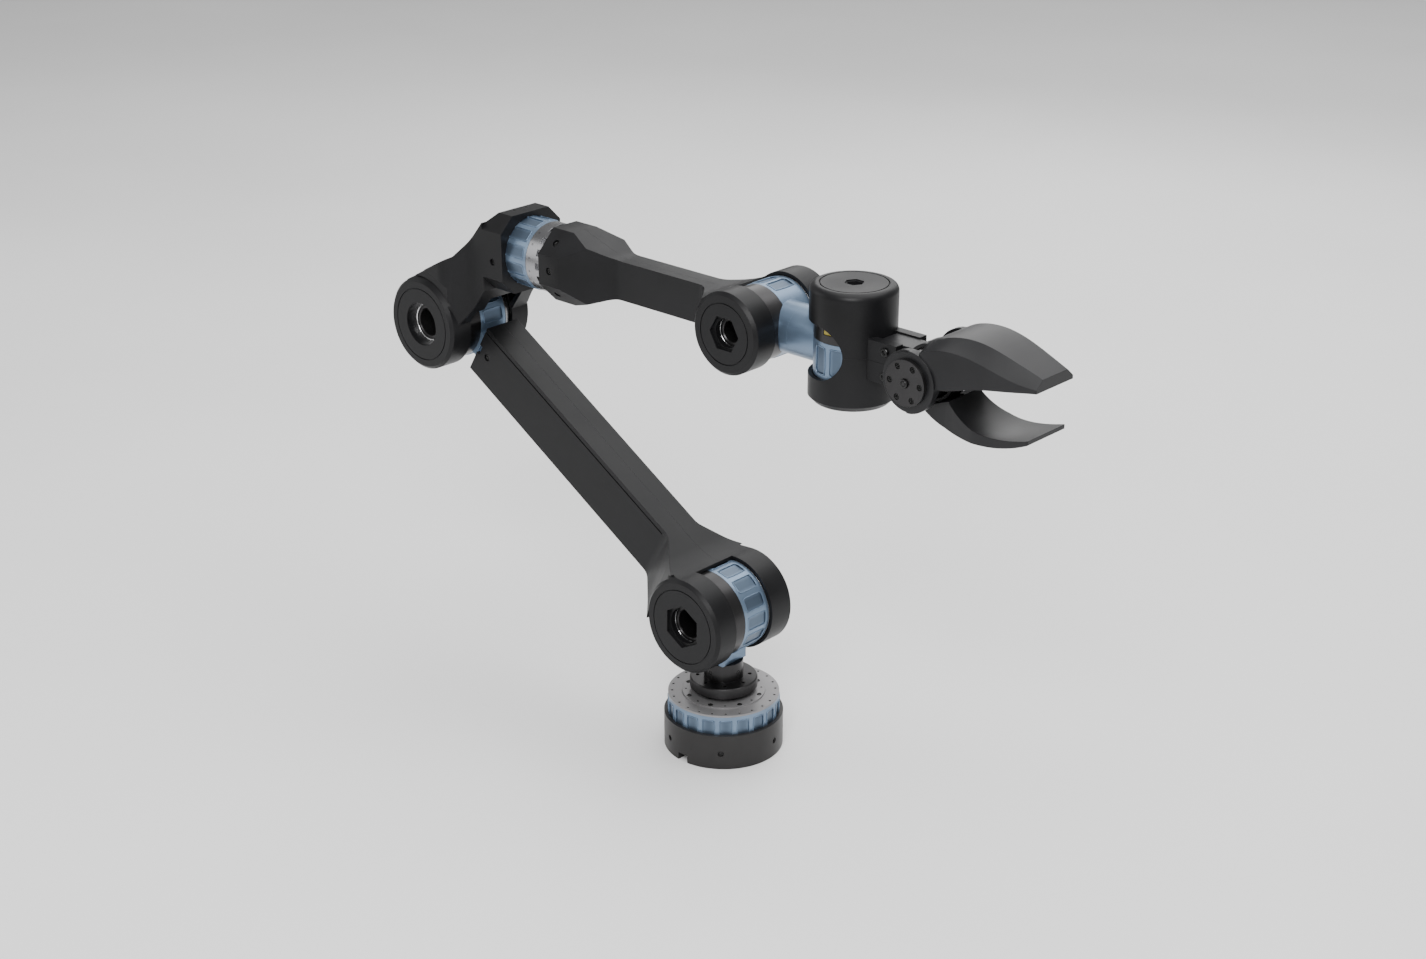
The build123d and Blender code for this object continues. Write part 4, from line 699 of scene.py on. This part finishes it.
# %% Screws of the hand, and the brow
bolts = np.array([[yaw[0] + 41 * MM, 0, pitch[2] + step * MM] for step in (8.5, -8.5)])
screws("hand_clamp_bolts", bolts + 18.2 * MM * near, near, head=3.1, height=1.8, body="hand")
screws("hand_clamp_nuts", bolts + 17.8 * MM * far, far, head=3.1, height=1.4, body="hand")
screw_circle("flange_screws", hinge + 35.6 * MM * near, near, radius=12.3, count=6,
             head=2.1, height=1.6, body="jaw")
screws("axle_screw", hinge + 37.7 * MM * near, near, head=2.5, height=0.6, body="hand")
# Loop of (height along the roll axis, radius): the lip's face, its outside and its inside
BROW = [(-30.5, 23), (-30.5, 27.2), (-29.9, 27.9), (-24, 27.9), (-24, 27.05), (-30.05, 27.05),
        (-30.05, 23)]
add_piece("elbow_cover_rim", *turned_solid(BROW, roll, forward, turns=128), "elbow", shell_black,
          "shell_black")

# %% [markdown]
# ## Raised frames round the pockets
# Each pocket in a blue band has a thin raised frame with round corners. An array of curves bent
# round a cylinder would do, but it takes three modifiers. Here the path is the superellipse
# |x/a|^7 + |y/b|^7 = 1, laid on the cylinder: y runs along the axis, and x is an arc length, so the
# angle is x / R. A small round section is carried along the path.

# %% Pocket frames
POCKET_SHARE, POCKET_MARGIN, FRAME_RADIUS, FRAME_LIFT = 0.72, 3.2, 0.42, 0.1
CORNER_POWER = 7


def superellipse(angle, half, power):
    """half * sign(c) * |c|^(2 / power), for c the cosine or sine of the path's angle."""
    return half * np.sign(angle) * np.abs(angle) ** (2 / power)


def pocket_frames(name, origin, axis, side, radius, start, length, count, body, clear=0.0):
    """Frames of count pockets round a band that begins at start mm along axis. A point is origin +
    (start + length / 2 + y) * axis + (radius + lift) * (cos a * side + sin a * other), with the angle
    a = the pocket's middle + x / radius, and (x, y) on the path, scaled by the section. The pockets
    within clear degrees of side are left out, because the stem stands there."""
    other = np.cross(axis, side)
    path = np.linspace(0, 2 * np.pi, 40, endpoint=False)
    section = np.linspace(0, 2 * np.pi, 8, endpoint=False)
    x = superellipse(np.cos(path), radius * np.sin(np.pi / count) * POCKET_SHARE, CORNER_POWER)
    y = superellipse(np.sin(path), length / 2 - POCKET_MARGIN, CORNER_POWER)
    grow = 1 + FRAME_RADIUS * np.cos(section)[None] / np.hypot(x, y)[:, None]
    lift = radius + FRAME_LIFT + FRAME_RADIUS * np.sin(section)
    middle = (np.arange(count) + 0.5) * 360 / count
    middle = middle[np.minimum(middle, 360 - middle) >= clear]
    across = x[None, :, None] * grow[None]
    along = y[None, :, None] * grow[None]
    angle = np.radians(middle)[:, None, None] + across / radius
    ring = np.cos(angle)[..., None] * side + np.sin(angle)[..., None] * other
    points = (origin + (start + length / 2 + along)[..., None] * MM * axis
              + (lift[None, None] * MM)[..., None] * ring)
    shift = np.arange(len(middle)) * len(path) * len(section)
    faces = grid_faces(len(path), len(section), close_rows=True)[None] + shift[:, None, None]
    add_piece(name, points.reshape(-1, 3), faces.reshape(-1, 4), body, blue_anodised,
              "blue_anodised")
    print(name, "frames:", len(middle))


# %% [markdown]
# ### A frame set for each band
# The large actuators have fourteen pockets round their band, the small ones twelve and the base
# twenty. Where a stem leaves the band there are none. The sizes repeat, so each kind of band is
# written down once and given to the frames together with its axis.

# %% Frames of each band
# Radius of the band, where it starts along the axis, its length and its number of pockets, in mm
BASE_BAND, LARGE_BAND, SMALL_BAND = (42.77, 19.5, 23, 20), (34, -13, 26, 14), (27, -12, 26, 12)
LARGE_CLEAR, SMALL_CLEAR = 31, 56
pocket_frames("base_pocket_frames", base, up, forward, *BASE_BAND, "base")
pocket_frames("shoulder_pocket_frames", shoulder, far, -up, *LARGE_BAND, "shoulder", LARGE_CLEAR)
pocket_frames("elbow_pocket_frames", elbow, far, -along_arm, *LARGE_BAND, "upper_arm", LARGE_CLEAR)
pocket_frames("roll_pocket_frames", roll, forward, up, *SMALL_BAND, "elbow")
pocket_frames("wrist_pitch_pocket_frames", pitch + 5 * MM * far, far, forward, *SMALL_BAND, "wrist",
              SMALL_CLEAR)
pocket_frames("wrist_yaw_pocket_frames", yaw, -up, -forward, *SMALL_BAND, "wrist", SMALL_CLEAR)

# %% [markdown]
# ## Finishes for the CAD pieces that stay
# The actuators' housings, bands, rings, shafts and plates are true in the CAD, so they keep their
# meshes. Each could be given its finish by hand, one after the other. The record already says what
# every node is made of, and its name says which joint it belongs to, so a table does it: lathe lines
# about its own axis where it is turned, and blue where it is an anodised band.

# %% Finishes by node
JOINT_OF = {"base": "base", "stem": "base", "shoulder": "shoulder", "elbow": "elbow", "roll": "roll",
            "wrist_pitch": "pitch", "wrist_yaw": "yaw", "gripper": "jaw"}
PLAIN = {"coupling_plate": gunmetal, "base_actuator_cap": cap_grey,
         "gripper_motor_plate": pale_plate, "wrist_yaw_connector": plug_yellow}
BY_SLOT = {"blue_anodised": band_blue, "ring_steel": ring_steel, "bearing_steel": bearing_steel}


def finish_of(name):
    """A node's own finish, or else its slot's finish for the joint that its name starts with."""
    if name in PLAIN:
        return PLAIN[name]
    joint = next(joint for start, joint in JOINT_OF.items() if name.startswith(start))
    return BY_SLOT.get(slot_of_node[name], turned_dark)[joint]


for name, obj in nodes.items():
    if name not in MOULDED:
        wear(obj, finish_of(name))
print("dressed nodes:", sum(1 for obj in nodes.values() if obj.data.materials))

# %% [markdown]
# ## Floor, size and the end
# The floor is a wide pale sheet under the base. A curved backdrop would hide the horizon too, but at
# this angle the floor alone fills the picture.

# %% Floor
FLOOR_HALF, FLOOR_STEPS, FLOOR_DROP = 6.0, 24, 0.0002


def add_floor():
    """Flat grid of side 2 * FLOOR_HALF metres, a hair below the base's foot at z = 0."""
    line = np.linspace(-FLOOR_HALF, FLOOR_HALF, FLOOR_STEPS)
    x, y = np.meshgrid(line, line, indexing="ij")
    points = np.stack([x, y, np.full_like(x, -FLOOR_DROP)], axis=-1).reshape(-1, 3)
    i, j = np.meshgrid(np.arange(FLOOR_STEPS - 1), np.arange(FLOOR_STEPS - 1), indexing="ij")
    corner = i * FLOOR_STEPS + j
    corners = [corner, corner + FLOOR_STEPS, corner + FLOOR_STEPS + 1, corner + 1]
    return show("floor", mesh_of("floor", points, np.stack(corners, axis=-1).reshape(-1, 4)))


floor = add_floor()
wear(floor, moulded_finish("floor_finish", (0.78, 0.78, 0.78), (0.82, 0.82, 0.82), 0.6, 0.05, 40.0,
                           0.00002, mottle=1.5))
print("floor in m:", [round(v, 2) for v in floor.dimensions])
